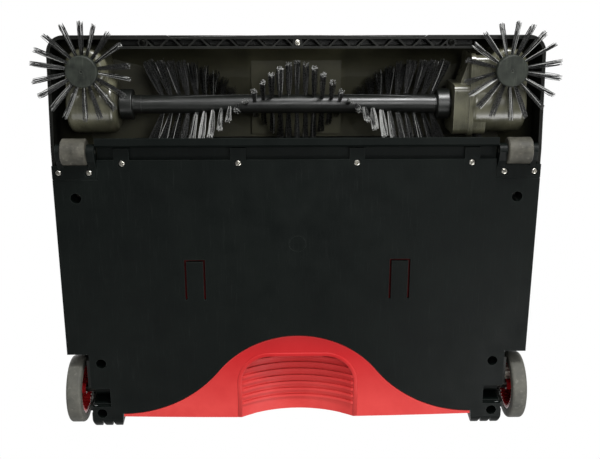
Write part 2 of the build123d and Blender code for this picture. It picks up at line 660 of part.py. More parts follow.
# Crossed helical gears with the same number of teeth and helix angles that add up to 90 degrees
def make_helical_gear(radius, helix_deg, start_deg, bore):
    helix = math.radians(helix_deg)
    module = 2 * radius / GEAR_TEETH
    pressure = math.degrees(math.atan(math.tan(math.radians(GEAR_PRESSURE_DEG)) / math.cos(helix)))
    points = gear_points(GEAR_TEETH, module, pressure, 1.1, 1.6, 0.53 / math.cos(helix))
    section = make_face(polygon(points))
    twist = math.degrees(GEAR_WIDTH * math.tan(helix) / radius)
    turned = Rot(0, 0, start_deg - twist / 2) * section
    gear = Solid.extrude_linear_with_rotation(turned.face(), (0, 0, 0), (0, 0, GEAR_WIDTH), twist)
    gear = Pos(0, 0, -GEAR_WIDTH / 2) * Part(gear.wrapped)
    return gear - Cylinder(bore, GEAR_WIDTH + 2)


def make_shaft_gear():
    gear = make_helical_gear(SHAFT_GEAR_RADIUS, 90 - CORNER_HELIX_DEG, 0, JOURNAL_RADIUS)
    lying = Plane(origin=(0, 0, 0), x_dir=(0, 1, 0), z_dir=(1, 0, 0))
    return Pos(CORNER_X, back(BRUSH_BEHIND), BRUSH_AXIS_Z) * lying.location * gear


def make_corner_gear():
    gear = make_helical_gear(CORNER_GEAR_RADIUS, CORNER_HELIX_DEG, -90 + 180 / GEAR_TEETH, SPINDLE_RADIUS)
    return Pos(CORNER_X, back(CORNER_BEHIND), BRUSH_AXIS_Z) * gear


# Bristles: straight strands with flat sides, in tufts set round a ring or along a helix
def make_strand(root, tip, root_width, tip_width, turn_deg):
    along = (tip - root).normalized()
    length = (tip - root).length
    foot = Plane(origin=root, z_dir=along).rotated((0, 0, turn_deg))
    head = Plane(origin=root + along * length, x_dir=foot.x_dir, z_dir=along)
    low = foot * RegularPolygon(root_width, 3)
    high = head * RegularPolygon(tip_width, 3)
    return loft([low.face(), high.face()], ruled=True)


def tuft_strands(root, tip, spread, side_way, along_way):
    strands = []
    for one, two in ((-1, -1), (1, -1), (-1, 1), (1, 1)):
        shift = Vector(*side_way) * one + Vector(*along_way) * two
        foot = Vector(*root) + shift * 0.62
        head = Vector(*tip) + shift * spread
        strands.append(make_strand(foot, head, STRAND_ROOT_WIDTH, STRAND_TIP_WIDTH, 30 * one + 15 * two))
    return strands


def make_brush_bristles():
    strands = []
    for row in (0, 1):
        for step in range(-BRUSH_TUFTS_EACH_WAY, BRUSH_TUFTS_EACH_WAY + 1):
            x = step * BRUSH_TUFT_PITCH
            turn = math.pi * min(abs(x) / BRUSH_TWIST_LENGTH, 1.0) + math.pi * row
            away = (0, math.cos(turn), -math.sin(turn))
            across = (0, math.sin(turn), math.cos(turn))
            lean = BRUSH_END_LEAN * max(0.0, abs(x) - BRUSH_LEAN_FROM) / BRUSH_LEAN_RUN * (1 if x > 0 else -1)
            root = (x, away[1] * BRUSH_TUFT_ROOT, away[2] * BRUSH_TUFT_ROOT)
            reach = BRUSH_TIP_RADIUS - 0.3
            tip = (x + lean, away[1] * reach, away[2] * reach)
            strands += tuft_strands(root, tip, 1.45, across, (1, 0, 0))
    ends = (-BRUSH_SLEEVE_LEFT, BRUSH_SLEEVE_RIGHT)
    sleeve = rod_x(*ends, BRUSH_BEHIND, BRUSH_AXIS_Z, BRUSH_CORE_RADIUS)
    sleeve = sleeve - rod_x(ends[0] - 1, ends[1] + 1, BRUSH_BEHIND, BRUSH_AXIS_Z, BRUSH_SLEEVE_BORE)
    return sleeve + [Pos(0, back(BRUSH_BEHIND), BRUSH_AXIS_Z) * strand for strand in strands]


def make_corner_bristles():
    strands = []
    for step in range(CORNER_TUFTS):
        turn = 2 * math.pi * step / CORNER_TUFTS + math.pi / 2
        away = (math.cos(turn), math.sin(turn), 0)
        across = (-math.sin(turn), math.cos(turn), 0)
        root = (away[0] * CORNER_TUFT_ROOT, away[1] * CORNER_TUFT_ROOT, CORNER_ROOT_Z)
        reach = CORNER_TIP_RADIUS - 0.05
        tip = (away[0] * reach, away[1] * reach, CORNER_TIP_Z)
        for one in (-1, 0, 1):
            foot = Vector(*root) + Vector(*across) * (0.8 * one)
            head = Vector(*tip) + Vector(*across) * (1.7 * one)
            strands.append(make_strand(foot, head, STRAND_ROOT_WIDTH, STRAND_TIP_WIDTH, 20 * one))
    ring = Cylinder(CORNER_RING_RADIUS, CORNER_RING_HEIGHT)
    ring = ring - Cylinder(CORNER_RING_BORE, CORNER_RING_HEIGHT + 2)
    ring = Pos(0, 0, CORNER_ROOT_Z) * ring
    brush = ring + strands
    return Pos(CORNER_X, back(CORNER_BEHIND), 0) * brush


def make_corner_spindle():
    hub = rod_z(CORNER_X, CORNER_BEHIND, 7.9, 12.3, 6.97)
    return hub + rod_z(CORNER_X, CORNER_BEHIND, 12, POD_TOP - 3.0, SPINDLE_RADIUS - CLOSE_FIT)


def make_corner_cap():
    cap = rod_z(CORNER_X, CORNER_BEHIND, CORNER_CAP_BOTTOM, CORNER_CAP_TOP, CORNER_CAP_RADIUS)
    cap = fillet(cap.edges().group_by(Axis.Z)[0], CORNER_CAP_ROUNDING)
    return cap - rod_z(CORNER_X, CORNER_BEHIND, 3.0, 4.0, 1.0)


def make_brush_core():
    shaft_end = POD_OUTER_X - 3.4

    def turned(x0, x1, radius):
        return rod_x(x0, x1, BRUSH_BEHIND, BRUSH_AXIS_Z, radius)

    core = turned(-shaft_end, shaft_end, JOURNAL_RADIUS - CLOSE_FIT)
    core = core + turned(-BRUSH_SLEEVE_LEFT - 0.1, BRUSH_SLEEVE_RIGHT + 0.1, BRUSH_SLEEVE_BORE - 0.03)
    ends = ((1, BRUSH_SLEEVE_RIGHT, POD_INNER_X), (-1, BRUSH_SLEEVE_LEFT, SHOULDER_INNER_X))
    for side, sleeve_end, pod_face in ends:
        collar_end = pod_face - 1.2
        collar = turned(side * (collar_end - COLLAR_WIDTH), side * collar_end, COLLAR_RADIUS)
        collar = fillet(collar.edges().filter_by(GeomType.CIRCLE), 1.0)
        core = core + turned(side * (sleeve_end + 0.1), side * collar_end, BRUSH_CORE_RADIUS) + collar
    return core


# Belt drive from the left-hand wheel, drawn on the right and mirrored with the other parts of that side
def make_pulley(behind, z, bore):
    half = PULLEY_WIDTH / 2
    drum = rod_x(BELT_X - half, BELT_X + half, behind, z, PULLEY_RADIUS)
    for side in (-1, 1):
        drum = drum + rod_x(BELT_X + side * half, BELT_X + side * (half - 0.6), behind, z,
                            PULLEY_FLANGE_RADIUS)
    return drum - rod_x(BELT_X - 9, BELT_X + 9, behind, z, bore)


def make_belt():
    run = math.dist((PINION_BEHIND, PINION_Z), (BRUSH_BEHIND, BRUSH_AXIS_Z))
    slope = math.degrees(math.atan2(BRUSH_AXIS_Z - PINION_Z, PINION_BEHIND - BRUSH_BEHIND))
    inner = PULLEY_RADIUS + RUN_GAP
    outer = inner + BELT_THICKNESS
    loop = SlotCenterToCenter(run, 2 * outer) - SlotCenterToCenter(run, 2 * inner)
    middle = (back((PINION_BEHIND + BRUSH_BEHIND) / 2), (PINION_Z + BRUSH_AXIS_Z) / 2)
    placed = Plane.YZ.offset(BELT_X - BELT_WIDTH / 2) * (Pos(*middle) * Rot(0, 0, slope) * loop)
    return extrude(placed, BELT_WIDTH)


def make_pinion():
    points = gear_points(PINION_TEETH, DRIVE_MODULE, GEAR_PRESSURE_DEG, 0.75, 1.1, 0.3)
    face = make_face(polygon(points))
    pinion = Plane.YZ.offset(TYRE_INNER_X + 1.0) * (Pos(back(PINION_BEHIND), PINION_Z) * face)
    shaft = rod_x(0, 400, PINION_BEHIND, PINION_Z, PINION_SHAFT_RADIUS)
    return extrude(pinion, 5.0) - shaft


def make_pinion_shaft():
    return rod_x(BELT_X - 3.2, TYRE_INNER_X + 6.2, PINION_BEHIND, PINION_Z, PINION_SHAFT_RADIUS - CLOSE_FIT)


def make_axle_bracket():
    inner, outer = AXLE_BRACKET_XS
    front = AXLE_WINDOW_FRONT - 9.2
    rear = AXLE_WINDOW_REAR - 0.1
    roof_z = AXLE_BRACKET_TOP - AXLE_BRACKET_WALL
    wall = slab(inner, inner + AXLE_BRACKET_WALL, front, rear, PLATE_TOP, AXLE_BRACKET_TOP)
    roof = slab(inner, outer, front, rear, roof_z, AXLE_BRACKET_TOP)
    shield = slab(inner, outer, front, front + AXLE_BRACKET_WALL, PLATE_TOP, AXLE_BRACKET_TOP)
    shield = shield + slab(inner, outer, rear - AXLE_BRACKET_WALL / 2, rear, PLATE_TOP, AXLE_BRACKET_TOP)
    axle_tube = rod_x(inner, outer, WHEEL_BEHIND, WHEEL_RADIUS, AXLE_RADIUS + 2.2)
    pinion_tube = rod_x(inner, outer, PINION_BEHIND, PINION_Z, PINION_SHAFT_RADIUS + 2.2)
    block = wall + roof + shield + axle_tube + pinion_tube
    block = block - rod_x(inner - 9, outer + 9, WHEEL_BEHIND, WHEEL_RADIUS, AXLE_RADIUS + CLOSE_FIT)
    return block - rod_x(inner - 9, outer + 9, PINION_BEHIND, PINION_Z, PINION_SHAFT_RADIUS + RUNNING_FIT)


def make_axle():
    pin = rod_x(AXLE_BRACKET_XS[0] + 0.5, AXLE_END, WHEEL_BEHIND, WHEEL_RADIUS, AXLE_RADIUS)
    return pin + rod_x(AXLE_END - AXLE_HEAD, AXLE_END, WHEEL_BEHIND, WHEEL_RADIUS, AXLE_RADIUS + 2.5)


def make_rim():
    start = TYRE_INNER_X + 0.5
    end = TYRE_OUTER_X - 0.6
    ring = rod_x(start, end, WHEEL_BEHIND, WHEEL_RADIUS, RIM_RADIUS)
    ring = ring - rod_x(start - 1, end + 1, WHEEL_BEHIND, WHEEL_RADIUS, RING_RADIUS + 1.15)
    points = gear_points(RING_TEETH, DRIVE_MODULE, GEAR_PRESSURE_DEG, 1.1, 0.6, -0.3)
    teeth = make_face(polygon(points))
    band = Circle(RING_RADIUS + 1.4) - teeth
    placed = Plane.YZ.offset(start) * (Pos(back(WHEEL_BEHIND), WHEEL_RADIUS) * band)
    web = rod_x(start + 6.6, start + 9.4, WHEEL_BEHIND, WHEEL_RADIUS, RIM_RADIUS - 0.5)
    hub = rod_x(start + 0.3, AXLE_END - AXLE_HEAD - RUN_GAP, WHEEL_BEHIND, WHEEL_RADIUS, HUB_RADIUS)
    rim = ring + extrude(placed, 5.6) + web + hub
    for hole in range(RIM_HOLES):
        turn = math.radians(360 / RIM_HOLES * hole)
        behind = WHEEL_BEHIND - RIM_HOLE_CIRCLE * math.cos(turn)
        z = WHEEL_RADIUS + RIM_HOLE_CIRCLE * math.sin(turn)
        rim = rim - rod_x(170, 190, behind, z, RIM_HOLE_RADIUS)
    return rim - rod_x(150, 200, WHEEL_BEHIND, WHEEL_RADIUS, AXLE_RADIUS + RUNNING_FIT)


def make_tyre():
    tyre = rod_x(TYRE_INNER_X, TYRE_OUTER_X, WHEEL_BEHIND, WHEEL_RADIUS, WHEEL_RADIUS)
    tyre = fillet(tyre.edges().filter_by(GeomType.CIRCLE), TYRE_ROUNDING)
    return tyre - rod_x(150, 200, WHEEL_BEHIND, WHEEL_RADIUS, RIM_RADIUS + CLOSE_FIT)


# Dust bin: a drawer with a flush tail, a finger scoop and a low sill towards the brush
def make_bin():
    bottom = PLATE_BOTTOM + 0.4
    tray = slab(-BIN_HALF, BIN_HALF, BIN_FRONT, BIN_REAR, BIN_FLOOR_Z, BIN_TOP)
    inner_half = BIN_HALF - BIN_WALL
    tray = tray - slab(-inner_half, inner_half, BIN_FRONT + BIN_WALL, BIN_REAR - BIN_WALL,
                       BIN_FLOOR_Z + BIN_WALL, 100)
    tray = tray - slab(-inner_half, inner_half, BIN_FRONT - 1, BIN_FRONT + 3, BIN_SILL_Z, 100)
    fascia = slab(-BIN_FASCIA_HALF, BIN_FASCIA_HALF, BIN_REAR - 2.4, BIN_REAR, PLATE_TOP + RUN_GAP, BIN_TOP)
    clear = TAIL_CLEARANCE
    corner = BIN_FASCIA_HALF
    tail_rear = BIN_REAR + TAIL_BOW
    tail = make_face([
        *tail_curve(clear),
        Line((TAIL_END_X, back(TAIL_END + clear)), (TAIL_END_X, back(BIN_REAR))),
        ThreePointArc((TAIL_END_X, back(BIN_REAR)), (0, back(tail_rear)), (-TAIL_END_X, back(BIN_REAR))),
        Line((-TAIL_END_X, back(BIN_REAR)), (-TAIL_END_X, back(TAIL_END + clear))),
    ])
    tail = Pos(0, 0, bottom) * extrude(tail, BIN_FLOOR_Z + 1 - bottom)
    tail = tail & slab(-corner, corner, 200, 320, 0, 60)
    block = slab(-SCOOP_HALF - 5, SCOOP_HALF + 5, SCOOP_FRONT - 5, tail_rear - 0.3, BIN_FLOOR_Z,
                 bottom + SCOOP_DEPTH + 3)
    runners = []
    for x in RUNNER_XS:
        runners.append(slab(x - RUNNER_HALF, x + RUNNER_HALF, 100, 300, PLATE_TOP + RUN_GAP, BIN_FLOOR_Z + 1))
    tray = tray + fascia + tail + block + runners

    # The scoop is a shallow trough along Y with a round-cornered front end and raised ribs
    radius = (SCOOP_HALF**2 + SCOOP_DEPTH**2) / (2 * SCOOP_DEPTH)
    axis_z = bottom + SCOOP_DEPTH - radius
    length = BIN_REAR - SCOOP_FRONT
    mouth = RectangleRounded(2 * SCOOP_HALF, length + 60, SCOOP_CORNER)
    mouth = Pos(0, back(SCOOP_FRONT + length / 2 + 30), 0) * extrude(mouth, 60)

    def trough(start, end, size):
        middle = Pos(0, back((start + end) / 2), axis_z)
        return middle * Rot(90, 0, 0) * Cylinder(size, end - start)

    tray = tray - (trough(SCOOP_FRONT - 1, BIN_REAR + 40, radius) & mouth)
    for rib in range(SCOOP_RIBS):
        start = SCOOP_FRONT + SCOOP_FIRST_RIB + rib * SCOOP_RIB_PITCH
        band = trough(start, start + SCOOP_RIB_WIDTH, radius + 1.0)
        band = band - trough(start - 1, start + 4, radius - 1.2)
        tray = tray + (band & mouth & slab(-SCOOP_HALF, SCOOP_HALF, 200, tail_rear - 0.3, bottom, 60))
    return tray


# Handle fork with its socket, drawn along -Y from the pivot and then leaned to its rest
def make_fork():
    bridge = FORK_BRIDGE_START - 1.0
    fork = Pos(0, -bridge - 10, 0) * Box(2 * FORK_OUTER_X, 20, FORK_DEPTH)
    for side in (-1, 1):
        middle = side * (FORK_INNER_X + FORK_OUTER_X) / 2
        thickness = FORK_OUTER_X - FORK_INNER_X
        fork = fork + Pos(middle, -22, 0) * Box(thickness, 44, FORK_DEPTH)
        fork = fork + Pos(middle, 0, 0) * Rot(0, 90, 0) * Cylinder(FORK_DEPTH / 2, thickness)
        fork = fork - Pos(middle, 0, 0) * Rot(0, 90, 0) * Cylinder(PIVOT_PIN_RADIUS + 0.06, 20)
    neck = Cylinder(SOCKET_RADIUS, SOCKET_END - NECK_START)
    neck = Pos(0, -(NECK_START + SOCKET_END) / 2, 0) * Rot(90, 0, 0) * neck
    fork = fork + neck
    corners = fork.edges().filter_by(Axis.Z).filter_by(lambda edge: abs(edge.center().X) > FORK_OUTER_X - 1)
    fork = fillet(corners, FORK_CORNER_RADIUS)
    bore = Pos(0, -(SOCKET_START + SOCKET_END + 5) / 2, 0) * Rot(90, 0, 0)
    fork = fork - bore * Cylinder(SOCKET_BORE_RADIUS, SOCKET_END + 5 - SOCKET_START)
    return Pos(0, back(PIVOT_BEHIND), PIVOT_Z) * Rot(-FORK_REST_DEG, 0, 0) * fork


def make_pivot_pin():
    end = PIVOT_PIN_HALF
    pin = rod_x(-end, end, PIVOT_BEHIND, PIVOT_Z, PIVOT_PIN_RADIUS)
    for side in (-1, 1):
        pin = pin + rod_x(side * (end - PIVOT_HEAD), side * end, PIVOT_BEHIND, PIVOT_Z,
                          PIVOT_PIN_RADIUS + PIVOT_HEAD)
    return pin


parts = {
    "hood": make_hood(),
    "base_plate": make_base_plate(),
    "sweep_lip": make_lip(),
    "dust_bin": make_bin(),
    "handle_fork": make_fork(),
    "handle_pivot_pin": make_pivot_pin(),
    "brush_core": make_brush_core(),
    "brush_bristles": make_brush_bristles(),
}
left_side_drive = {
    "brush_pulley": make_pulley(BRUSH_BEHIND, BRUSH_AXIS_Z, JOURNAL_RADIUS),
    "pinion_pulley": make_pulley(PINION_BEHIND, PINION_Z, PINION_SHAFT_RADIUS),
    "drive_belt": make_belt(),
    "drive_pinion": make_pinion(),
    "pinion_shaft": make_pinion_shaft(),
    "left_brush_bushes": make_brush_bushes(SHOULDER_INNER_X),
}
for name, shape in left_side_drive.items():
    parts[name] = mirror(shape, about=Plane.YZ)
parts["right_brush_bushes"] = make_brush_bushes(POD_INNER_X)
for side, pod in (("right", make_right_pod()), ("left", make_left_pod())):
    parts[f"{side}_gear_pod_cover"] = below_split(pod)
    parts[f"{side}_gear_pod_case"] = above_split(pod)
for suffix, make in (
    ("roller_bracket", make_bracket),
    ("front_roller", make_front_roller),
    ("roller_pin", make_roller_pin),
    ("spindle_bushes", make_spindle_bushes),
    ("shaft_gear", make_shaft_gear),
    ("corner_gear", make_corner_gear),
    ("corner_spindle", make_corner_spindle),
    ("corner_bristles", make_corner_bristles),
    ("corner_cap", make_corner_cap),
    ("axle_bracket", make_axle_bracket),
    ("wheel_axle", make_axle),
    ("wheel_rim", make_rim),
    ("wheel_tyre", make_tyre),
):
    for side, shape in on_both_sides(make).items():
        parts[f"{side}_{suffix}"] = shape

lip_screws = [make_screw(x, LIP_SCREW_BEHIND, PLATE_BOTTOM + 0.1, 2.4, 1.4, 1.1, 3.0) for x in LIP_SCREW_XS]
bracket_screws = []
chassis_screws = []
for side in (-1, 1):
    for x in BRACKET_SCREW_XS:
        bracket_screws.append(make_screw(side * x, BRACKET_SCREW_BEHIND, PLATE_BOTTOM, 2.4, 1.4, 1.2, 3.4))
    for x, behind in CHASSIS_HOLES:
        chassis_screws.append(make_screw(side * x, behind, BOSS_TOP - 4.4, 3.2, 2.4, 1.4, 12.0))
rim_screws = [make_screw(x, RIM_SCREW_BEHIND, PLATE_TOP - 0.2, 2.3, 1.7, 1.3, 7.0) for x in RIM_SCREW_XS]
parts["lip_screws"] = Compound(lip_screws)
parts["bracket_screws"] = Compound(bracket_screws)
parts["chassis_screws"] = Compound(chassis_screws)
parts["rim_screws"] = Compound(rim_screws)

os.makedirs("parts", exist_ok=True)
for name, shape in parts.items():
    export_step(shape, f"parts/{name}.step")
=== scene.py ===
# %% [markdown]
# # A carpet sweeper, seen from below
# This lesson dresses the solids of a push-along carpet sweeper. The solids come
# first, because every later piece is placed by them.

# %% Load the solids
import json
import math
import random

import bpy
from mathutils import Matrix, Vector


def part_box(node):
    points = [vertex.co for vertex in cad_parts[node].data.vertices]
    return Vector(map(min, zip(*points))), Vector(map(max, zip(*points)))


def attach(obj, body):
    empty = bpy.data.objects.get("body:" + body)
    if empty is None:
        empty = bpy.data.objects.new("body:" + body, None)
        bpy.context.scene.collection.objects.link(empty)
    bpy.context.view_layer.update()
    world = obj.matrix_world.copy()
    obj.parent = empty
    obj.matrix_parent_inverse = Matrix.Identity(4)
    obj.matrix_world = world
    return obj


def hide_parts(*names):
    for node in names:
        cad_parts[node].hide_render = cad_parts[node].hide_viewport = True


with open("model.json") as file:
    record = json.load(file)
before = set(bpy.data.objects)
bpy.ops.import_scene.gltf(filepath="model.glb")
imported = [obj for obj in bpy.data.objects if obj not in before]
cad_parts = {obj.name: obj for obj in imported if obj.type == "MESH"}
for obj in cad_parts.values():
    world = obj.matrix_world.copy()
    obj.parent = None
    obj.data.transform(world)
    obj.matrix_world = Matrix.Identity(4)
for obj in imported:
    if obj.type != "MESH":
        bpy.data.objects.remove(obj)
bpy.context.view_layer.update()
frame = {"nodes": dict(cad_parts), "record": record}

MM = 0.001
MM_PER_METRE = 1000
scene = bpy.context.scene

# %% [markdown]
# ## The camera
# The machine is held up and looked at from underneath, a little from its front.
# The place of the camera was found by matching screws, holes and hubs of the
# solids with where they lie in the picture. A camera can also be aimed with a
# constraint, but a plain matrix keeps the small roll of the picture.

# %% Camera
IMAGE_WIDTH_PX = 600
FOCAL_PX = 889.0
SENSOR_MM = 36.0
CAMERA_PLACE = Vector((0.0130, 0.2129, -0.6431))
VIEW_WAY = Vector((-0.0216, -0.2998, 0.9538))
PICTURE_UP = Vector((-0.0058, 0.9540, 0.2997))
CLIP_NEAR = 0.01
CLIP_FAR = 50.0

camera_data = bpy.data.cameras.new("underside_camera")
camera = bpy.data.objects.new("underside_camera", camera_data)
scene.collection.objects.link(camera)
back_way = -VIEW_WAY.normalized()
right_way = PICTURE_UP.cross(back_way).normalized()
up_way = back_way.cross(right_way)
turn = Matrix((right_way, up_way, back_way)).transposed()
camera.matrix_world = Matrix.Translation(CAMERA_PLACE) @ turn.to_4x4()
camera_data.lens = FOCAL_PX / IMAGE_WIDTH_PX * SENSOR_MM
camera_data.sensor_width = SENSOR_MM
camera_data.clip_start = CLIP_NEAR
camera_data.clip_end = CLIP_FAR
scene.camera = camera
print("camera lens", round(camera_data.lens, 2), "mm")

# %% [markdown]
# ## A small kit for finishes
# Moulded plastic is never one flat colour: the tool leaves a fine spark grain,
# the melt leaves clouds of slightly different tone, use adds scuffs along the way
# of travel, and corners polish. Each of these is a node chain, and the chains are
# shared, so a helper makes each chain once and the finishes below choose amounts.

# %% Node helpers
def srgb(red, green, blue):
    """Linear colour from the 0 to 255 values of a colour picker."""
    def linear(value):
        value /= 255
        return value / 12.92 if value <= 0.04045 else ((value + 0.055) / 1.055) ** 2.4
    return (linear(red), linear(green), linear(blue), 1.0)


class Finish:
    """One material with its shader and the node chains that feed it."""

    def __init__(self, name, roughness, specular=0.5, metallic=0.0):
        self.material = bpy.data.materials.new(name)
        self.material.use_nodes = True
        self.nodes = self.material.node_tree.nodes
        self.links = self.material.node_tree.links
        self.shader = self.nodes["Principled BSDF"]
        self.shader.inputs["Roughness"].default_value = roughness
        self.shader.inputs["Specular IOR Level"].default_value = specular
        self.shader.inputs["Metallic"].default_value = metallic
        self.place = self.nodes.new("ShaderNodeTexCoord").outputs["Object"]

    def add(self, kind, **settings):
        node = self.nodes.new(kind)
        for name, value in settings.items():
            setattr(node, name, value)
        return node

    def feed(self, socket, source):
        if hasattr(source, "node"):
            self.links.new(source, socket)
        else:
            socket.default_value = source

    def noise(self, per_metre, detail=2.0, stretch=None, rough=0.5):
        node = self.add("ShaderNodeTexNoise")
        node.inputs["Scale"].default_value = per_metre
        node.inputs["Detail"].default_value = detail
        node.inputs["Roughness"].default_value = rough
        place = self.place
        if stretch:
            mapping = self.add("ShaderNodeMapping")
            mapping.inputs["Scale"].default_value = stretch
            self.feed(mapping.inputs["Vector"], place)
            place = mapping.outputs["Vector"]
        self.feed(node.inputs["Vector"], place)
        return node.outputs["Fac"]

    def between(self, source, low, high, out_low=0.0, out_high=1.0):
        node = self.add("ShaderNodeMapRange")
        for name, value in (("From Min", low), ("From Max", high),
                            ("To Min", out_low), ("To Max", out_high)):
            node.inputs[name].default_value = value
        self.feed(node.inputs["Value"], source)
        return node.outputs["Result"]

    def sums(self, operation, one, two):
        node = self.add("ShaderNodeMath", operation=operation)
        self.feed(node.inputs[0], one)
        self.feed(node.inputs[1], two)
        return node.outputs["Value"]

    def mix(self, amount, one, two):
        node = self.add("ShaderNodeMix", data_type="RGBA")
        self.feed(node.inputs["Factor"], amount)
        self.feed(node.inputs["A"], one)
        self.feed(node.inputs["B"], two)
        return node.outputs["Result"]

    def edges(self, width, low=0.04, high=0.30):
        """1 along sharp corners, 0 on the flats: a rounded normal against the real one."""
        bevel = self.add("ShaderNodeBevel", samples=6)
        bevel.inputs["Radius"].default_value = width
        geometry = self.add("ShaderNodeNewGeometry")
        dot = self.add("ShaderNodeVectorMath", operation="DOT_PRODUCT")
        self.feed(dot.inputs[0], bevel.outputs["Normal"])
        self.feed(dot.inputs[1], geometry.outputs["Normal"])
        return self.between(self.sums("SUBTRACT", 1.0, dot.outputs["Value"]), low, high)

    def part_of(self, vector, axis):
        split = self.add("ShaderNodeSeparateXYZ")
        self.feed(split.inputs["Vector"], vector)
        return split.outputs[axis]

    def band(self, axis, low, high):
        """0 at the first place in metres, 1 at the second, along one axis of the piece."""
        return self.between(self.part_of(self.place, axis), low, high)

    def undersides(self, starts=-0.1, full=-0.7):
        """1 on faces that look down, 0 on walls and tops."""
        normal = self.add("ShaderNodeNewGeometry").outputs["Normal"]
        return self.between(self.part_of(normal, "Z"), starts, full)

    def colour(self, source):
        self.feed(self.shader.inputs["Base Color"], source)

    def roughness(self, source):
        self.feed(self.shader.inputs["Roughness"], source)

    def bump(self, *layers):
        """Each layer is a height source and its depth in metres, and rides on the last."""
        normal = None
        for height, depth in layers:
            node = self.add("ShaderNodeBump")
            node.inputs["Distance"].default_value = depth
            node.inputs["Strength"].default_value = 1.0
            self.feed(node.inputs["Height"], height)
            if normal:
                self.links.new(normal, node.inputs["Normal"])
            normal = node.outputs["Normal"]
        self.links.new(normal, self.shader.inputs["Normal"])


print("node helpers ready")

# %% [markdown]
# ## Moulded plastics
# The hood, plate and brackets are black polypropylene with a satin spark grain,
# the bin and the wheel rims are red, the gear pods an olive grey with more gloss.
# They are one process, so one function makes all of them, and the amounts differ.
# A photo of a grain could be wrapped round them instead, but noise has no seams.

# %% Moulded finish
GRAIN_LIGHTENS = 0.35
SCUFFS_PER_METRE = 300
SCUFF_STRETCH = (6.0, 0.18, 1.0)
DUST_PER_METRE = 2100
PATCHES_PER_METRE = 60
SHINE_PER_METRE = 70
SHINE_SWING = 0.07
CORNER_POLISH = 0.12
WAVES_PER_METRE = 24
WAVE_DEPTH = 0.10 * MM


def moulded(name, dark, light, wear_and_highlight, roughness, specular, grain_mm, grain_depth_mm, scuffs,
            layers=(), edge_mm=0.7, clouds_per_metre=38):
    """Clouds and grain first, then scuffs, dust and worn corners (wide ones also a painted highlight),
    then the layers on top, among them painted light and shade.
    """
    finish = Finish(name, roughness, specular)
    clouds = finish.between(finish.noise(clouds_per_metre, 4), 0.3, 0.7)
    speck = finish.between(finish.noise(MM_PER_METRE / grain_mm, 2), 0.35, 0.65)
    tone = finish.mix(clouds, dark, light)
    tone = finish.mix(finish.sums("MULTIPLY", speck, GRAIN_LIGHTENS), tone, light)
    streaks = finish.noise(SCUFFS_PER_METRE, 3, stretch=SCUFF_STRETCH)
    streaks = finish.between(streaks, 0.60, 0.74, 0.0, scuffs)
    dust = finish.between(finish.noise(DUST_PER_METRE, 1), 0.74, 0.80, 0.0, scuffs)
    corners = finish.edges(edge_mm * MM)
    corners = finish.sums("MULTIPLY", corners, finish.between(clouds, 0, 1, 0.25, 0.6))
    marks = finish.sums("MAXIMUM", finish.sums("MAXIMUM", streaks, dust), corners)
    tone = finish.mix(marks, tone, wear_and_highlight)
    for where, layer_tone, thinnest in layers:
        patches = finish.noise(PATCHES_PER_METRE, 5, rough=0.6)
        patches = finish.between(patches, 0.25, 0.6, thinnest, 1.0)
        tone = finish.mix(finish.sums("MULTIPLY", where(finish), patches), tone, layer_tone)
    finish.colour(tone)
    shine = finish.between(finish.noise(SHINE_PER_METRE, 5), 0.25, 0.75,
                           roughness - SHINE_SWING, roughness + SHINE_SWING)
    finish.roughness(finish.sums("SUBTRACT", shine, finish.sums("MULTIPLY", corners, CORNER_POLISH)))
    finish.bump((speck, grain_depth_mm * MM), (finish.noise(WAVES_PER_METRE, 2), WAVE_DEPTH))
    return finish.material


print("moulded finish ready")

# %% [markdown]
# ## Dust, wear and painted light
# Some layers lie on one part of a piece only: a paler olive under the roof of the brush
# room, partly dust and partly painted light; a dark film on the front wall of the bin,
# partly dirt and partly painted shade; painted shade on the bin's floor under the plate;
# and a paler tail, a painted sheen. Each is a mask made from the place of a point and
# the way its face looks. It could be painted by hand, but a mask in millimetres follows
# the solid.

# %% Layers of dust, wear and painted light
ROOM_MIDDLE = (34 * MM, 40 * MM)
ROOM_SIDE_SHARE = 0.62
ROOM_ROOF = (30 * MM, 50 * MM)
BIN_FRONT = (44 * MM, 60 * MM)
BIN_FLOOR = (-98 * MM, -40 * MM)
BIN_TAIL = (-100 * MM, -145 * MM)


# Partly dust, partly painted light: the roof over the brush is painted a paler olive, most of all in the
# middle.
def roof_dust_and_light(finish):
    aside = finish.sums("ABSOLUTE", finish.part_of(finish.place, "X"), 0.0)
    middle = finish.between(aside, *ROOM_MIDDLE, 1.0, ROOM_SIDE_SHARE)
    roof = finish.sums("MULTIPLY", finish.undersides(), finish.band("Z", *ROOM_ROOF))
    return finish.sums("MULTIPLY", roof, middle)


# Partly dirt, partly painted shade: the bin's front wall under the brush is darkened, which also keeps
# red light off the tufts.
def bin_front_dirt_and_shade(finish):
    return finish.band("Y", *BIN_FRONT)


# Painted shade: the bin's floor under the plate, seen through the slots, is darkened to a deep red.
def bin_floor_painted_shade(finish):
    return finish.sums("MULTIPLY", finish.undersides(), finish.band("Y", *BIN_FLOOR))


# Painted sheen: the underside of the bin's tail is painted paler towards the rear, as light from behind
# would make it.
def tail_painted_sheen(finish):
    return finish.sums("MULTIPLY", finish.undersides(), finish.band("Y", *BIN_TAIL))


print("layers ready: 4")

# %% [markdown]
# The three colours of each plastic are its dark and light clouds and its worn corners;
# on the red the corners are wide, partly wear and partly a painted highlight. The pods
# also have a thin clear coat, which gives them a second shine.

# %% Plastics
POD_COAT = 0.3
POD_COAT_ROUGHNESS = 0.12

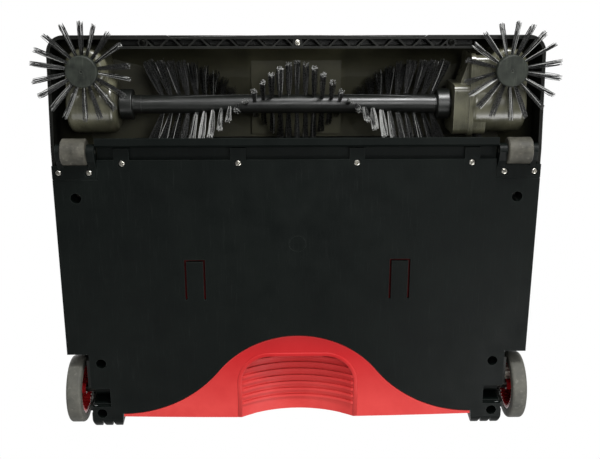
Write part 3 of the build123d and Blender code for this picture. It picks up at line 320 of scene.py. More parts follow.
black_plastic = moulded("black_spark_grain", srgb(5, 9, 8), srgb(10, 15, 13), srgb(62, 67, 64),
                        roughness=0.48, specular=0.12, grain_mm=0.75, grain_depth_mm=0.020, scuffs=0.10)
# The olive layer under the roof of the brush room is partly dust, partly painted light.
hood_plastic = moulded("black_hood_satin", srgb(12, 13, 11), srgb(20, 21, 18), srgb(70, 71, 66),
                       roughness=0.44, specular=0.24, grain_mm=0.75, grain_depth_mm=0.018, scuffs=0.10,
                       layers=[(roof_dust_and_light, srgb(74, 73, 56), 0.65)])
shaft_plastic = moulded("black_shaft_satin", srgb(13, 15, 13), srgb(24, 26, 24), srgb(84, 86, 84),
                        roughness=0.36, specular=0.50, grain_mm=0.60, grain_depth_mm=0.010, scuffs=0.08)
# On the red the worn corners run 1.8 mm wide: partly wear, partly a painted highlight along the rims and
# ribs.
red_plastic = moulded("red_moulded", srgb(166, 22, 26), srgb(176, 29, 32), srgb(220, 92, 88),
                      roughness=0.46, specular=0.16, grain_mm=0.55, grain_depth_mm=0.012, scuffs=0.05,
                      layers=[(tail_painted_sheen, srgb(200, 62, 59), 0.65), (bin_floor_painted_shade, srgb(84, 18, 19), 0.92),
                              (bin_front_dirt_and_shade, srgb(44, 34, 31), 0.95)], edge_mm=1.8)
rim_plastic = moulded("red_rim_gloss", srgb(120, 14, 18), srgb(146, 20, 24), srgb(190, 60, 56),
                      roughness=0.24, specular=0.50, grain_mm=0.55, grain_depth_mm=0.006, scuffs=0.05)
pod_plastic = moulded("olive_grey_pod", srgb(48, 48, 37), srgb(92, 91, 74), srgb(150, 148, 134),
                      roughness=0.30, specular=0.60, grain_mm=0.9, grain_depth_mm=0.012, scuffs=0.22,
                      edge_mm=1.2, clouds_per_metre=75)
cap_plastic = moulded("grey_brush_cap", srgb(17, 20, 17), srgb(44, 48, 42), srgb(112, 115, 106),
                      roughness=0.50, specular=0.26, grain_mm=0.7, grain_depth_mm=0.024, scuffs=0.30,
                      edge_mm=1.2, clouds_per_metre=160)
pod_shader = pod_plastic.node_tree.nodes["Principled BSDF"]
pod_shader.inputs["Coat Weight"].default_value = POD_COAT
pod_shader.inputs["Coat Roughness"].default_value = POD_COAT_ROUGHNESS
white_nylon = moulded("natural_nylon", srgb(206, 203, 192), srgb(222, 219, 208), srgb(236, 233, 224),
                      roughness=0.40, specular=0.45, grain_mm=0.8, grain_depth_mm=0.006, scuffs=0.04)
print("plastics made: 8")

# %% [markdown]
# ## Rubber and metal
# The tyres and front rollers are grey rubber: matt, mottled with dust, with a fine
# pitted skin. Screws and pins are zinc-plated steel, brushed by turning, so their
# roughness runs in short streaks. Two screws are blackened, and the wheel axles are
# darkened, painted shade for the deep windows they sit in. The belt is a ground black rubber.

# %% Rubber and metal
MOTTLES_PER_METRE = 110
PITS_PER_METRE = 1700
PIT_DEPTH = 0.03 * MM
LINT_PER_METRE = 420
LINT_SHARE = 0.45
DUSTY_EDGE = 0.8 * MM
EDGE_SHARE = 0.4
DENTS_PER_METRE = 300
DENT_DEPTH = 0.05 * MM
STREAKS_PER_METRE = 900
STREAK_STRETCH = (1.0, 1.0, 9.0)
STREAK_DEPTH = 0.008 * MM
TARNISH_PER_METRE = 500


def rubber(name, dark, light, dusty, roughness):
    finish = Finish(name, roughness, specular=0.3)
    clouds = finish.between(finish.noise(MOTTLES_PER_METRE, 6, rough=0.65), 0.3, 0.7)
    pits = finish.between(finish.noise(PITS_PER_METRE, 2), 0.3, 0.7)
    tone = finish.mix(clouds, dark, light)
    lint = finish.between(finish.noise(LINT_PER_METRE, 4), 0.60, 0.74, 0.0, LINT_SHARE)
    corners = finish.sums("MULTIPLY", finish.edges(DUSTY_EDGE), EDGE_SHARE)
    tone = finish.mix(finish.sums("MAXIMUM", lint, corners), tone, dusty)
    finish.colour(tone)
    finish.roughness(finish.between(clouds, 0, 1, roughness - 0.06, roughness + 0.08))
    finish.bump((pits, PIT_DEPTH), (finish.noise(DENTS_PER_METRE, 2), DENT_DEPTH))
    return finish.material


def plated(name, dark, light, roughness):
    finish = Finish(name, roughness, specular=0.5, metallic=1.0)
    brushed = finish.noise(STREAKS_PER_METRE, 3, stretch=STREAK_STRETCH)
    finish.colour(finish.mix(finish.between(brushed, 0.3, 0.7), dark, light))
    tarnish = finish.noise(TARNISH_PER_METRE, 3)
    finish.roughness(finish.between(tarnish, 0.3, 0.7, roughness - 0.08, roughness + 0.10))
    finish.bump((brushed, STREAK_DEPTH))
    return finish.material


tyre_rubber = rubber("grey_tyre_rubber", srgb(68, 68, 63), srgb(92, 91, 84), srgb(124, 122, 115),
                     roughness=0.66)
roller_rubber = rubber("worn_roller_rubber", srgb(46, 45, 39), srgb(82, 80, 72), srgb(122, 119, 108),
                       roughness=0.58)
belt_rubber = rubber("black_belt_rubber", srgb(20, 20, 20), srgb(32, 32, 31), srgb(60, 60, 58),
                     roughness=0.65)
zinc_steel = plated("zinc_plated_steel", srgb(176, 174, 166), srgb(222, 219, 208), roughness=0.30)
black_steel = plated("blackened_screw_steel", srgb(16, 16, 15), srgb(30, 30, 28), roughness=0.45)
# Painted shade: the wheel axles are a dark steel, as dark as their deep windows.
shaded_axle_steel = plated("axle_steel_painted_shade", srgb(42, 40, 38), srgb(70, 68, 64), roughness=0.38)
print("rubber and metal made: 6")

# %% [markdown]
# ## Which solid wears which finish
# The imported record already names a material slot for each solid, so the finish is
# looked up by slot. A few solids differ from their slot and are named one by one.

# %% Dress the solids
FINISH_OF_SLOT = {
    "black_plastic": black_plastic,
    "red_plastic": red_plastic,
    "grey_rubber": tyre_rubber,
    "pod_grey": pod_plastic,
    "bristle": shaft_plastic,
    "steel": zinc_steel,
    "white_nylon": white_nylon,
    "belt_rubber": belt_rubber,
    "cap_grey": cap_plastic,
}
FINISH_OF_NODE = {
    "hood": hood_plastic,
    "brush_core": shaft_plastic,
    "left_brush_bushes": shaft_plastic,
    "right_brush_bushes": shaft_plastic,
    "left_spindle_bushes": shaft_plastic,
    "right_spindle_bushes": shaft_plastic,
    "left_wheel_axle": shaded_axle_steel,
    "right_wheel_axle": shaded_axle_steel,
    "left_front_roller": roller_rubber,
    "right_front_roller": roller_rubber,
    "left_wheel_rim": rim_plastic,
    "right_wheel_rim": rim_plastic,
}
slot_of_node = {part["node"]: part["material_slot"] for part in frame["record"]["subparts"]}
for node, solid in frame["nodes"].items():
    finish = FINISH_OF_NODE.get(node, FINISH_OF_SLOT[slot_of_node[node]])
    solid.data.materials.clear()
    solid.data.materials.append(finish)
print("solids dressed:", len(slot_of_node))

# %% [markdown]
# ## Making a mesh from lists
# Tufts need thousands of small faces, so their points and faces are gathered in
# lists and turned into one mesh at the end. That is far quicker than an operator
# for each filament. A colour attribute keeps each filament's own tone.

# %% Mesh helpers
X_WAY = Vector((1, 0, 0))
Y_WAY = Vector((0, 1, 0))


class Shape:
    """Points, faces and a tone for each point, gathered before one mesh is made."""

    def __init__(self):
        self.points, self.faces, self.tones = [], [], []

    def rings(self, rings, tones, close_start=False, close_end=True):
        """Joins rings of equal length into a tube."""
        first, count = len(self.points), len(rings[0])
        for ring, tone in zip(rings, tones):
            self.points += [tuple(p) for p in ring]
            self.tones += [tone] * count
        for row in range(len(rings) - 1):
            a, b = first + row * count, first + (row + 1) * count
            for k in range(count):
                n = (k + 1) % count
                self.faces.append((a + k, a + n, b + n, b + k))
        if close_start:
            self.faces.append(tuple(first + k for k in reversed(range(count))))
        if close_end:
            self.faces.append(tuple(first + (len(rings) - 1) * count + k for k in range(count)))

    def piece(self, name, finish, body, slot, *nodes, smooth=True):
        """One mesh that rides on a body, in the place of the nodes named. The slot is not used."""
        mesh = bpy.data.meshes.new(name)
        mesh.from_pydata(self.points, [], self.faces)
        tone = mesh.color_attributes.new("tone", "FLOAT_COLOR", "POINT")
        flat = [value for t in self.tones for value in (t, t, t, 1.0)]
        tone.data.foreach_set("color", flat)
        mesh.materials.append(finish)
        if smooth:
            mesh.shade_smooth()
        made = bpy.data.objects.new(name, mesh)
        scene.collection.objects.link(made)
        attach(made, body)
        if nodes:
            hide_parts(*nodes)
        print(name, "faces:", len(mesh.polygons))
        return made


def ring_about(centre, one, two, radius, count):
    """Points of a circle round a centre, in the plane of two ways."""
    steps = [2 * math.pi * k / count for k in range(count)]
    return [centre + one * (radius * math.cos(s)) + two * (radius * math.sin(s)) for s in steps]


def across_of(way, hint):
    """Two ways square to the first, one of them as near to the hint as can be."""
    one = (hint - way * hint.dot(way)).normalized()
    return one, way.cross(one)


print("mesh helpers ready")

# %% [markdown]
# ## Nylon filaments
# A tuft is a bundle of stiff nylon filaments folded over a staple in a drilled
# hole. Hair particles would draw quicker, but they don't leave the scene as a mesh,
# so each filament is a thin four-sided tube with its own bow, length and tone.

# %% Filament finish
NYLON_DARK = srgb(6, 7, 7)
# the pale colour is that of painted glints on filaments and their cut ends
NYLON_GLINT = srgb(196, 197, 194)
NYLON_SHINE = (0.20, 0.36)
NYLON_WORN_PER_METRE = 800


def nylon():
    finish = Finish("black_nylon_filament", roughness=0.30, specular=0.30)
    tone = finish.add("ShaderNodeAttribute", attribute_name="tone").outputs["Fac"]
    finish.colour(finish.mix(finish.between(tone, 0.0, 1.0), NYLON_DARK, NYLON_GLINT))
    finish.roughness(finish.between(finish.noise(NYLON_WORN_PER_METRE, 2), 0.3, 0.7, *NYLON_SHINE))
    return finish.material


filament_nylon = nylon()
print("filament finish made:", filament_nylon.name)

# %% [markdown]
# In a tuft the filaments start close together and fan out. Chance gives each one its
# place in the bundle, its bow and its length, and a share of them are pale, painted
# glints of light on single filaments. Their cut ends are paler again, a painted glint.
# A fixed seed draws the same tuft in each run.

# %% Tuft
FILAMENT_RADIUS = 0.19 * MM
FILAMENT_SIDES = 4
FILAMENT_TAPER = 0.15
FILAMENT_STATIONS = (0.0, 0.3, 0.6, 0.8, 0.96, 1.0)
# tones of the pale filaments, painted glints
GLINT_TONES = (0.35, 0.9)
DARK_TONES = (0.0, 0.06)
ROOT_FLATNESS = 0.9
SPREAD_RANGE = (0.82, 1.08)
BOW_AT_ROOT = 0.4


def tuft(shape, draw, root, tip, side, count, root_half, tip_half, flat, bow, shorter,
         glint_share, tip_glint):
    """A bundle from root to tip. side is the way in which it is widest, flat its thinness across."""
    way = (tip - root).normalized()
    one, two = across_of(way, side)
    reach = (tip - root).length
    for _ in range(count):
        angle = draw.uniform(0, 2 * math.pi)
        out = math.sqrt(draw.random())
        a, b = out * math.cos(angle), out * math.sin(angle)
        start = root + one * (a * root_half) + two * (b * root_half * ROOT_FLATNESS)
        spread = draw.uniform(*SPREAD_RANGE)
        end = root + way * (reach * (1 - shorter * draw.random()))
        end += one * (a * tip_half * spread) + two * (b * tip_half * spread * flat)
        bend = (one * draw.uniform(-1, 1) + two * draw.uniform(-1, 1)) * bow
        rings, tones = [], []
        own = draw.uniform(*(GLINT_TONES if draw.random() < glint_share else DARK_TONES))
        for t in FILAMENT_STATIONS:
            swell = BOW_AT_ROOT + (1 - BOW_AT_ROOT) * t
            centre = start.lerp(end, t) + bend * math.sin(math.pi * t) * swell
            radius = FILAMENT_RADIUS * (1.0 - FILAMENT_TAPER * t)
            rings.append(ring_about(centre, one, two, radius, FILAMENT_SIDES))
            # painted glint: the last ring, at the cut end, is made paler
            tones.append(own + (tip_glint if t == 1.0 else 0.0))
        shape.rings(rings, tones)


print("filament radius", FILAMENT_RADIUS / MM, "mm")

# %% [markdown]
# ## The roller brush
# Two rows of tufts wind round the core from the middle to both ends, so together
# they draw a chevron that herds the dirt inwards. The rows wind a little slower than
# the stiff strands of the solid brush, as they do in the picture. Each tuft fans out
# towards its tip, and near the ends the worn tufts lean outwards and run together.

# %% Roller brush
core_low, core_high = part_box("brush_core")
BRUSH_AXIS = (core_low + core_high) / 2
BRUSH_AXIS.x = 0.0
TUFT_PITCH = 6.4 * MM
TUFTS_EACH_WAY = 16
TWIST_LENGTH = 90.0 * MM
TUFT_ROOT = 6.2 * MM
BRUSH_REACH = 33.2 * MM
TUFT_FILAMENTS = 38
TUFT_ROOT_HALF = 1.35 * MM
TUFT_FAN = 2.6 * MM
TUFT_FLATNESS = 0.8
TUFT_BOW = 1.1 * MM
TUFT_SHORTER = 0.09
# the cut ends are made paler, a painted glint
TUFT_TIP_GLINT = 0.7
# towards the ends the tufts lean outwards
LEAN_START = 60 * MM
LEAN_RUN = 42 * MM
END_LEAN = 10.5 * MM
# painted glints: pale filaments are commonest at one place of the first row, where the front light
# glints off the tufts
GLINT_SHARE = 0.04
PEAK_GLINT_SHARE = 0.75
PEAK_GLINT_AT = 64 * MM
PEAK_GLINT_RUN = 12 * MM
# from here outwards, in each row, the fans widen until the tufts run together
SHEET_FROM = (74 * MM, 34 * MM)
SHEET_RUN = 20 * MM
SHEET_FAN = 2.2 * MM
SHEET_FILAMENTS = 14
# in the sheets the painted glint on the cut ends fades
SHEET_GLINT_LOSS = 0.62
BRUSH_SEED = 71

draw = random.Random(BRUSH_SEED)
brush = Shape()
for row in (0, 1):
    for step in range(-TUFTS_EACH_WAY, TUFTS_EACH_WAY + 1):
        x = step * TUFT_PITCH
        turn = math.pi * min(abs(x) / TWIST_LENGTH, 1.0) + math.pi * row
        away = Vector((0, math.cos(turn), -math.sin(turn)))
        lean = END_LEAN * max(0.0, abs(x) - LEAN_START) / LEAN_RUN * (1 if x > 0 else -1)
        root = BRUSH_AXIS + Vector((x, 0, 0)) + away * TUFT_ROOT
        tip = BRUSH_AXIS + Vector((x + lean, 0, 0)) + away * BRUSH_REACH
        peak_glint = 0.0
        if row == 0:
            peak_glint = PEAK_GLINT_SHARE * math.exp(-((abs(x) - PEAK_GLINT_AT) / PEAK_GLINT_RUN) ** 2)
        sheet = min(1.0, max(0.0, (abs(x) - SHEET_FROM[row]) / SHEET_RUN))
        tuft(brush, draw, root, tip, X_WAY, TUFT_FILAMENTS + round(SHEET_FILAMENTS * sheet),
             TUFT_ROOT_HALF, TUFT_FAN + SHEET_FAN * sheet, TUFT_FLATNESS, TUFT_BOW, TUFT_SHORTER,
             glint_share=max(peak_glint, GLINT_SHARE), tip_glint=TUFT_TIP_GLINT - SHEET_GLINT_LOSS * sheet)
brush.piece("brush_tufts", filament_nylon, "brush", "bristle", "brush_bristles")

# %% [markdown]
# The sleeve is moulded in two halves, and their parting groove winds slowly round
# it. The groove is part of the outline, and the outline turns from ring to ring.

# %% Brush sleeve
SLEEVE_RADIUS = 7.0 * MM
SLEEVE_BORE = 5.5 * MM
SLEEVE_RIGHT = 118.0 * MM
SLEEVE_LEFT = -104.5 * MM
SLEEVE_SIDES = 90
SLEEVE_RINGS = 25
SEAM_DEG = 319.0
SEAM_TURN_DEG_PER_M = 550.0
SEAM_FROM = 113 * MM
SEAM_DEPTH = 0.8 * MM
SHARP_DEG = 35


def sleeve_ring(x, inner):
    """The outline at one place along the brush, of the bore or of the grooved outside."""
    seam = math.radians(SEAM_DEG + SEAM_TURN_DEG_PER_M * (SEAM_FROM - abs(x)))
    ring = []
    for k in range(SLEEVE_SIDES):
        angle = seam + 2 * math.pi * k / SLEEVE_SIDES
        depth = SEAM_DEPTH if k in (0, SLEEVE_SIDES // 2) else 0.0
        radius = SLEEVE_BORE if inner else SLEEVE_RADIUS - depth
        ring.append(BRUSH_AXIS + Vector((x, radius * math.cos(angle), radius * math.sin(angle))))
    return ring


sleeve = Shape()
sleeve_length = SLEEVE_RIGHT - SLEEVE_LEFT
along = [SLEEVE_LEFT + sleeve_length * k / (SLEEVE_RINGS - 1) for k in range(SLEEVE_RINGS)]
stations = [(SLEEVE_LEFT, True)] + [(x, False) for x in along]
stations += [(SLEEVE_RIGHT, True), (SLEEVE_LEFT, True)]
sleeve.rings([sleeve_ring(*station) for station in stations], [0.0] * len(stations), close_end=False)
sleeve_piece = sleeve.piece("brush_sleeve", shaft_plastic, "brush", "black_plastic", "brush_bristles")
sleeve_piece.data.set_sharp_from_angle(angle=math.radians(SHARP_DEG))

# %% [markdown]
# ## The corner brushes
# Each corner has a small flat brush whose tufts lean down to the floor like the
# spokes of an open umbrella. They reach past the body to sweep along skirting.
# Real ones are a little bent from use, so each tuft gets a small sideways set. A
# ring that holds the roots is turned from a profile of four corners.

# %% Corner brushes
cap_low, cap_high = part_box("right_corner_cap")
CORNER_PLACE = (cap_low + cap_high) / 2
CORNER_TUFTS = 18
CORNER_RING = 10.0 * MM
CORNER_BORE = 7.0 * MM
CORNER_ROOT_Z = 10.0 * MM
CORNER_TIP_Z = 1.35 * MM
CORNER_ROOT = 8.8 * MM
CORNER_REACH = 36.3 * MM
CORNER_SET = 2.2 * MM
CORNER_FILAMENTS = 26
CORNER_ROOT_HALF = 1.0 * MM
CORNER_FAN = 2.3 * MM
CORNER_FLATNESS = 0.35
CORNER_BOW = 0.9 * MM
CORNER_SHORTER = 0.12
# pale filaments and paler cut ends are painted glints
CORNER_GLINT_SHARE = (0.02, 0.22)
CORNER_TIP_GLINT = 0.15
RING_LOW_Z = 8.0 * MM
RING_HIGH_Z = 12.0 * MM
RING_SIDES = 48


def corner_brush(side, seed):
    """The tufts and the ring of one corner brush. side is 1 on the right, -1 on the left."""
    draw = random.Random(seed)
    hub = Vector((side * CORNER_PLACE.x, CORNER_PLACE.y, 0))
    tufts = Shape()
    for step in range(CORNER_TUFTS):
        turn = 2 * math.pi * step / CORNER_TUFTS + math.pi / 2
        away = Vector((math.cos(turn), math.sin(turn), 0))
        across = Vector((-math.sin(turn), math.cos(turn), 0))
        set_aside = draw.uniform(-1.0, 1.0) * CORNER_SET
        root = hub + away * CORNER_ROOT + Vector((0, 0, CORNER_ROOT_Z))
        tip = hub + away * CORNER_REACH + across * set_aside + Vector((0, 0, CORNER_TIP_Z))
        tuft(tufts, draw, root, tip, across, CORNER_FILAMENTS, CORNER_ROOT_HALF, CORNER_FAN,
             CORNER_FLATNESS, CORNER_BOW, CORNER_SHORTER,
             glint_share=draw.uniform(*CORNER_GLINT_SHARE), tip_glint=CORNER_TIP_GLINT)
    name = "right" if side > 0 else "left"
    body = name + "_corner_brush"
    tufts.piece(name + "_corner_tufts", filament_nylon, body, "bristle", name + "_corner_bristles")
    ring = Shape()
    profile = [(CORNER_BORE, RING_LOW_Z), (CORNER_RING, RING_LOW_Z), (CORNER_RING, RING_HIGH_Z),
               (CORNER_BORE, RING_HIGH_Z), (CORNER_BORE, RING_LOW_Z)]
    rings = [ring_about(hub + Vector((0, 0, z)), X_WAY, Y_WAY, r, RING_SIDES) for r, z in profile]
    ring.rings(rings, [0.0] * len(rings), close_end=False)
    ring.piece(name + "_corner_ring", shaft_plastic, body, "bristle", name + "_corner_bristles",
               smooth=False)


RIGHT, LEFT = 1, -1
corner_brush(RIGHT, seed=15)
corner_brush(LEFT, seed=23)

# %% [markdown]
# ## Screw heads
# The plate and rim are held by zinc-plated pan-head screws with a cross recess. The
# solids carry plain heads, and the places are read from them, so nothing has to be
# measured twice. A node can hold many screws, so its points are first sorted into
# groups that edges join, one group for each screw.

# %% Places of the screws
def solids_in(node):
    """The corners of each separate solid in one CAD node."""
    mesh = frame["nodes"][node].data
    owner = list(range(len(mesh.vertices)))

    def top(index):
        while owner[index] != index:
            owner[index] = owner[owner[index]]
            index = owner[index]
        return index

    places = {}
    for vertex in mesh.vertices:
        key = tuple(round(value, 6) for value in vertex.co)
        owner[vertex.index] = places.setdefault(key, vertex.index)
    for edge in mesh.edges:
        owner[top(edge.vertices[0])] = top(edge.vertices[1])
    groups = {}
    for vertex in mesh.vertices:
        groups.setdefault(top(vertex.index), []).append(vertex.co)
    corners = []
    for points in groups.values():
        low = Vector([min(p[k] for p in points) for k in range(3)])
        high = Vector([max(p[k] for p in points) for k in range(3)])
        corners.append((low, high))
    return sorted(corners, key=lambda pair: tuple(pair[0]))


SCREW_NODES = ("lip_screws", "bracket_screws", "rim_screws", "chassis_screws")
screw_places = {node: solids_in(node) for node in SCREW_NODES}
print("screws found:", sum(len(places) for places in screw_places.values()))

# %% [markdown]
# One head is turned as a profile, and a tapered cross is cut from it with a boolean.
# It has a radius and a height of 1, so that copies can be stretched to any screw.

# %% Screw head
HEAD_PROFILE = [(0.30, 0.0), (0.62, 0.05), (0.84, 0.20), (0.97, 0.48), (1.0, 0.80), (0.98, 1.0)]
HEAD_SIDES = 32
CROSS_WIDE = 0.58
CROSS_SLIM = 0.14
CROSS_DEEP = 0.62
CROSS_ABOVE = 0.2
CROSS_TAPER = 0.55


def cut(target, tool):
    """The target's mesh less the tool's, and both scratch objects gone."""
    step = target.modifiers.new("cut", "BOOLEAN")
    step.object = tool
    step.solver = "EXACT"
    graph = bpy.context.evaluated_depsgraph_get()
    mesh = bpy.data.meshes.new_from_object(target.evaluated_get(graph))
    for spent in (target, tool):
        bpy.data.objects.remove(spent)
    return mesh


def scratch(name, shape):
    """An object to cut with, which is gone after the cut."""
    mesh = bpy.data.meshes.new(name)
    mesh.from_pydata(shape.points, [], shape.faces)
    made = bpy.data.objects.new(name, mesh)
    scene.collection.objects.link(made)
    return made


def screw_head():
    """A head of radius 1 and height 1, its crown down at z = 0, with a cross cut in it."""
    head = Shape()
    rings = [ring_about(Vector((0, 0, z)), X_WAY, Y_WAY, r, HEAD_SIDES) for r, z in HEAD_PROFILE]
    head.rings(rings, [0.0] * len(rings), close_start=True)
    arm = [Vector((CROSS_WIDE, -CROSS_SLIM, 0)), Vector((CROSS_WIDE, CROSS_SLIM, 0)),
           Vector((CROSS_SLIM, CROSS_SLIM, 0))]
    quarters = [Matrix.Rotation(math.pi / 2 * quarter, 3, "Z") for quarter in range(4)]
    outline = [turned @ p for turned in quarters for p in arm]
    mouth = [p + Vector((0, 0, -CROSS_ABOVE)) for p in outline]
    bottom = [p * CROSS_TAPER + Vector((0, 0, CROSS_DEEP)) for p in outline]
    cross = Shape()
    cross.rings([mouth, bottom], [0.0] * 2, close_start=True)
    mesh = cut(scratch("head", head), scratch("cross", cross))
    print("screw head faces:", len(mesh.polygons))
    return mesh


head_mesh = screw_head()

# %% [markdown]
# Copies of the head and a plain shank then stand for each screw, each turned a little
# further than the last, because hand-driven screws never stop alike. The outer two
# screws of the rim are blackened.

# %% Screws
FIRST_TURN = 0.7
TURN_STEP = 1.3
SHANK_SHARE = 0.5
SHANK_SIDES = 16
# height of the head over the whole length, both in mm
HEAD_SHARE = {"lip_screws": 1.4 / 4.4, "bracket_screws": 1.4 / 4.8, "rim_screws": 1.7 / 8.7,
              "chassis_screws": 2.4 / 14.4}


def screws(node, name, places, finish, head_share):
    """Detailed screws at the places of a node's solids."""
    shape = Shape()
    for number, (low, high) in enumerate(places):
        radius = (high.x - low.x) / 2
        centre = Vector(((low.x + high.x) / 2, (low.y + high.y) / 2, low.z))
        head_high = (high.z - low.z) * head_share
        spin = Matrix.Rotation(FIRST_TURN + TURN_STEP * number, 3, "Z")
        first = len(shape.points)
        for vertex in head_mesh.vertices:
            point = spin @ vertex.co
            place = Vector((point.x * radius, point.y * radius, point.z * head_high))
            shape.points.append(tuple(centre + place))
        shape.tones += [0.0] * len(head_mesh.vertices)
        shape.faces += [tuple(first + v for v in face.vertices) for face in head_mesh.polygons]
        shank_ends = [Vector((centre.x, centre.y, z)) for z in (low.z + head_high, high.z)]
        shank = [ring_about(end, X_WAY, Y_WAY, radius * SHANK_SHARE, SHANK_SIDES) for end in shank_ends]
        shape.rings(shank, [0.0] * 2)
    shape.piece(name, finish, "chassis", "steel", node, smooth=False)


for group, share in HEAD_SHARE.items():
    places = screw_places[group]
    if group == "rim_screws":
        screws(group, "rim_screws_black", [places[0], places[2]], black_steel, share)
        places = [places[1]]
    screws(group, group + "_detailed", places, zinc_steel, share)
bpy.data.meshes.remove(head_mesh)

# %% [markdown]
# ## The rim of the finger scoop
# The scoop in the bin's tail has a soft raised bead round its mouth, which stiffens
# the edge that fingers pull on. The bead is an oval section carried along the two
# sides, the two round corners and the front of the mouth. A bevel on the solid would
# round every edge of the bin, so the bead is a piece of its own.

# %% Scoop rim
bin_low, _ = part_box("dust_bin")
SCOOP_HALF = 46.0 * MM
SCOOP_LENGTH = 55.0 * MM
SCOOP_CORNER = 24.0 * MM
BEAD_HALF = 1.7 * MM
BEAD_DROP = 0.6 * MM
BEAD_OUT = 1.3 * MM
BEAD_END = 1.2 * MM
BEAD_SIDES = 14
CORNER_STEPS = 12

bead_front = bin_low.y + SCOOP_LENGTH + BEAD_OUT
bead_side = SCOOP_HALF + BEAD_OUT
bead_corner = SCOOP_CORNER + BEAD_OUT
half_path = [(Vector((bead_side, bin_low.y + BEAD_END, 0)), X_WAY)]
corner = Vector((bead_side - bead_corner, bead_front - bead_corner, 0))
for step in range(CORNER_STEPS + 1):
    angle = math.pi / 2 * step / CORNER_STEPS
    out = Vector((math.cos(angle), math.sin(angle), 0))
    half_path.append((corner + out * bead_corner, out))
other_half = [(Vector((-p.x, p.y, 0)), Vector((-n.x, n.y, 0))) for p, n in reversed(half_path)]
bead = Shape()
bead_rings = []
for place, out in half_path + other_half:
    ring = []
    for k in range(BEAD_SIDES):
        angle = 2 * math.pi * k / BEAD_SIDES
        drop = Vector((0, 0, bin_low.z + BEAD_DROP * math.sin(angle)))
        ring.append(place + out * (BEAD_HALF * math.cos(angle)) + drop)
    bead_rings.append(ring)
bead.rings(bead_rings, [0.0] * len(bead_rings), close_start=True)
bead.piece("scoop_rim", red_plastic, "dust_bin", "red_plastic")

# %% [markdown]
# ## Floor, background and light
# The picture looks up from under the machine, and most other views look down on it.
# So the floor is a pale sheet that can be seen only from above: its back face lets
# the view through. It takes the shadow of the light above, and no lamp below is
# stopped by it.

# %% Floor
FLOOR_HALF = 4.0
FLOOR_DROP = 0.4 * MM
FLOOR_CLOUDS_PER_METRE = 3

floor_mesh = bpy.data.meshes.new("studio_floor")
floor_signs = ((-1, -1), (1, -1), (1, 1), (-1, 1))
floor_points = [(x * FLOOR_HALF, y * FLOOR_HALF, -FLOOR_DROP) for x, y in floor_signs]
floor_mesh.from_pydata(floor_points, [], [(0, 1, 2, 3)])
floor = bpy.data.objects.new("studio_floor", floor_mesh)
scene.collection.objects.link(floor)
floor.visible_shadow = False
floor.visible_diffuse = False
floor.visible_glossy = False

floor_finish = Finish("pale_floor", roughness=0.9, specular=0.1)
floor_clouds = floor_finish.noise(FLOOR_CLOUDS_PER_METRE, 4)
floor_finish.colour(floor_finish.mix(floor_clouds, srgb(238, 238, 237), srgb(243, 243, 242)))
nodes, links = floor_finish.nodes, floor_finish.links
see_through = nodes.new("ShaderNodeBsdfTransparent")
one_sided = nodes.new("ShaderNodeMixShader")
links.new(nodes.new("ShaderNodeNewGeometry").outputs["Backfacing"], one_sided.inputs["Fac"])
links.new(floor_finish.shader.outputs["BSDF"], one_sided.inputs[1])
links.new(see_through.outputs["BSDF"], one_sided.inputs[2])
links.new(one_sided.outputs["Shader"], nodes["Material Output"].inputs["Surface"])
floor_mesh.materials.append(floor_finish.material)
print("floor half width", FLOOR_HALF, "m")

# %% [markdown]
# The world is white to the eye. To mirrors it is white above and a quiet grey
# below, as a studio is on the camera's side. Its own light is soft and even. A
# picture of a studio could light it too, but two tones are enough for satin plastic.

# %% World
WHITE = (1, 1, 1, 1)
MIRROR_BELOW = (0.10, 0.10, 0.10, 1)
LIGHT_BELOW = (0.38, 0.38, 0.38, 1)
LIGHT_ABOVE = (0.55, 0.55, 0.55, 1)
GREY_UNDER = -0.35
WHITE_OVER = 0.05

world = bpy.data.worlds.new("studio")
scene.world = world
world.use_nodes = True
nodes, links = world.node_tree.nodes, world.node_tree.links
rays = nodes.new("ShaderNodeLightPath").outputs
way = nodes.new("ShaderNodeSeparateXYZ")
links.new(nodes.new("ShaderNodeTexCoord").outputs["Generated"], way.inputs["Vector"])
height = nodes.new("ShaderNodeMapRange")
height.inputs["From Min"].default_value = GREY_UNDER
height.inputs["From Max"].default_value = WHITE_OVER
links.new(way.outputs["Z"], height.inputs["Value"])


def blend_colour(amount, one, two):
    """The first colour at 0, the second at 1."""
    node = nodes.new("ShaderNodeMix")
    node.data_type = "RGBA"
    for name, source in (("Factor", amount), ("A", one), ("B", two)):
        if hasattr(source, "node"):
            links.new(source, node.inputs[name])
        else:
            node.inputs[name].default_value = source
    return node.outputs["Result"]


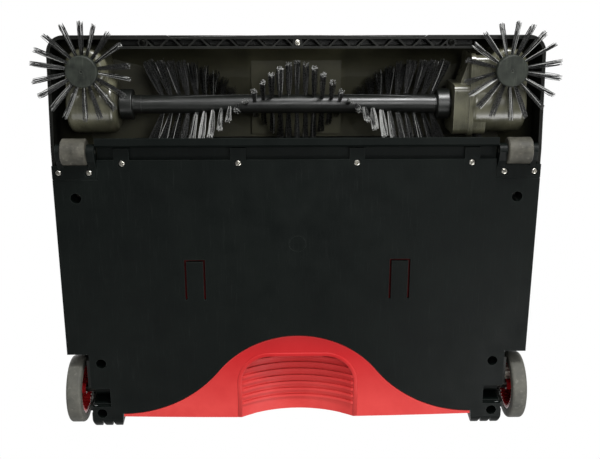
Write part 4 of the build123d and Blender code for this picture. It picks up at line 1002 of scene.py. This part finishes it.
mirrored = blend_colour(height.outputs["Result"], MIRROR_BELOW, WHITE)
ambient = blend_colour(height.outputs["Result"], LIGHT_BELOW, LIGHT_ABOVE)
shown = blend_colour(rays["Is Glossy Ray"], ambient, mirrored)
shown = blend_colour(rays["Is Transmission Ray"], shown, WHITE)
shown = blend_colour(rays["Is Camera Ray"], shown, WHITE)
background = nodes["Background"]
links.new(shown, background.inputs["Color"])
background.inputs["Strength"].default_value = 1.0
print("world ready")

# %% [markdown]
# Soft lamps model the form: one in front of the machine and below it, which lights
# the brush shaft, a small one that puts a shine on the pods, one beside the camera,
# two low ones at the rear that wash the corners of the plate, and a wide even light
# above for the hood and floor.

# %% Lamps
def soft_lamp(name, place, target, wide, high, watts):
    """An area lamp at a place, aimed at a target, all in metres."""
    data = bpy.data.lights.new(name, "AREA")
    data.shape = "RECTANGLE"
    data.size, data.size_y = wide, high
    data.energy = watts
    lamp = bpy.data.objects.new(name, data)
    scene.collection.objects.link(lamp)
    way = Vector(target) - Vector(place)
    lamp.location = place
    lamp.rotation_euler = way.to_track_quat("-Z", "Y").to_euler()
    print(name, "watts", watts)


soft_lamp("front_lamp_below", (-0.24, 0.92, -0.40), (0.0, 0.08, 0.03), 0.26, 0.20, 11.0)
soft_lamp("camera_lamp", (-0.16, 0.36, -0.86), (0.0, 0.0, 0.02), 0.22, 0.22, 3.0)
soft_lamp("rear_lamp_right", (0.34, -0.55, -0.70), (0.10, -0.10, 0.01), 0.40, 0.40, 0.9)
soft_lamp("rear_lamp_left", (-0.50, -0.56, -0.60), (-0.12, -0.12, 0.01), 0.40, 0.40, 3.6)
soft_lamp("pod_lamp", (0.30, 0.75, -0.62), (0.0, 0.10, 0.03), 0.10, 0.10, 1.2)

SKY_WAY = Vector((-0.30, -0.38, -1.0))
SKY_ANGLE_DEG = 50
SKY_STRENGTH = 1.3
sky_data = bpy.data.lights.new("top_light", "SUN")
sky_data.angle = math.radians(SKY_ANGLE_DEG)
sky_data.energy = SKY_STRENGTH
sky = bpy.data.objects.new("top_light", sky_data)
scene.collection.objects.link(sky)
sky.rotation_euler = SKY_WAY.to_track_quat("-Z", "Y").to_euler()
print("top light", sky_data.energy, "watts a square metre")

# %% [markdown]
# ## Last steps
# The view transform stays plain, so a colour renders about as it was written.

# %% Finish
scene.view_settings.view_transform = "Standard"
bpy.context.view_layer.update()
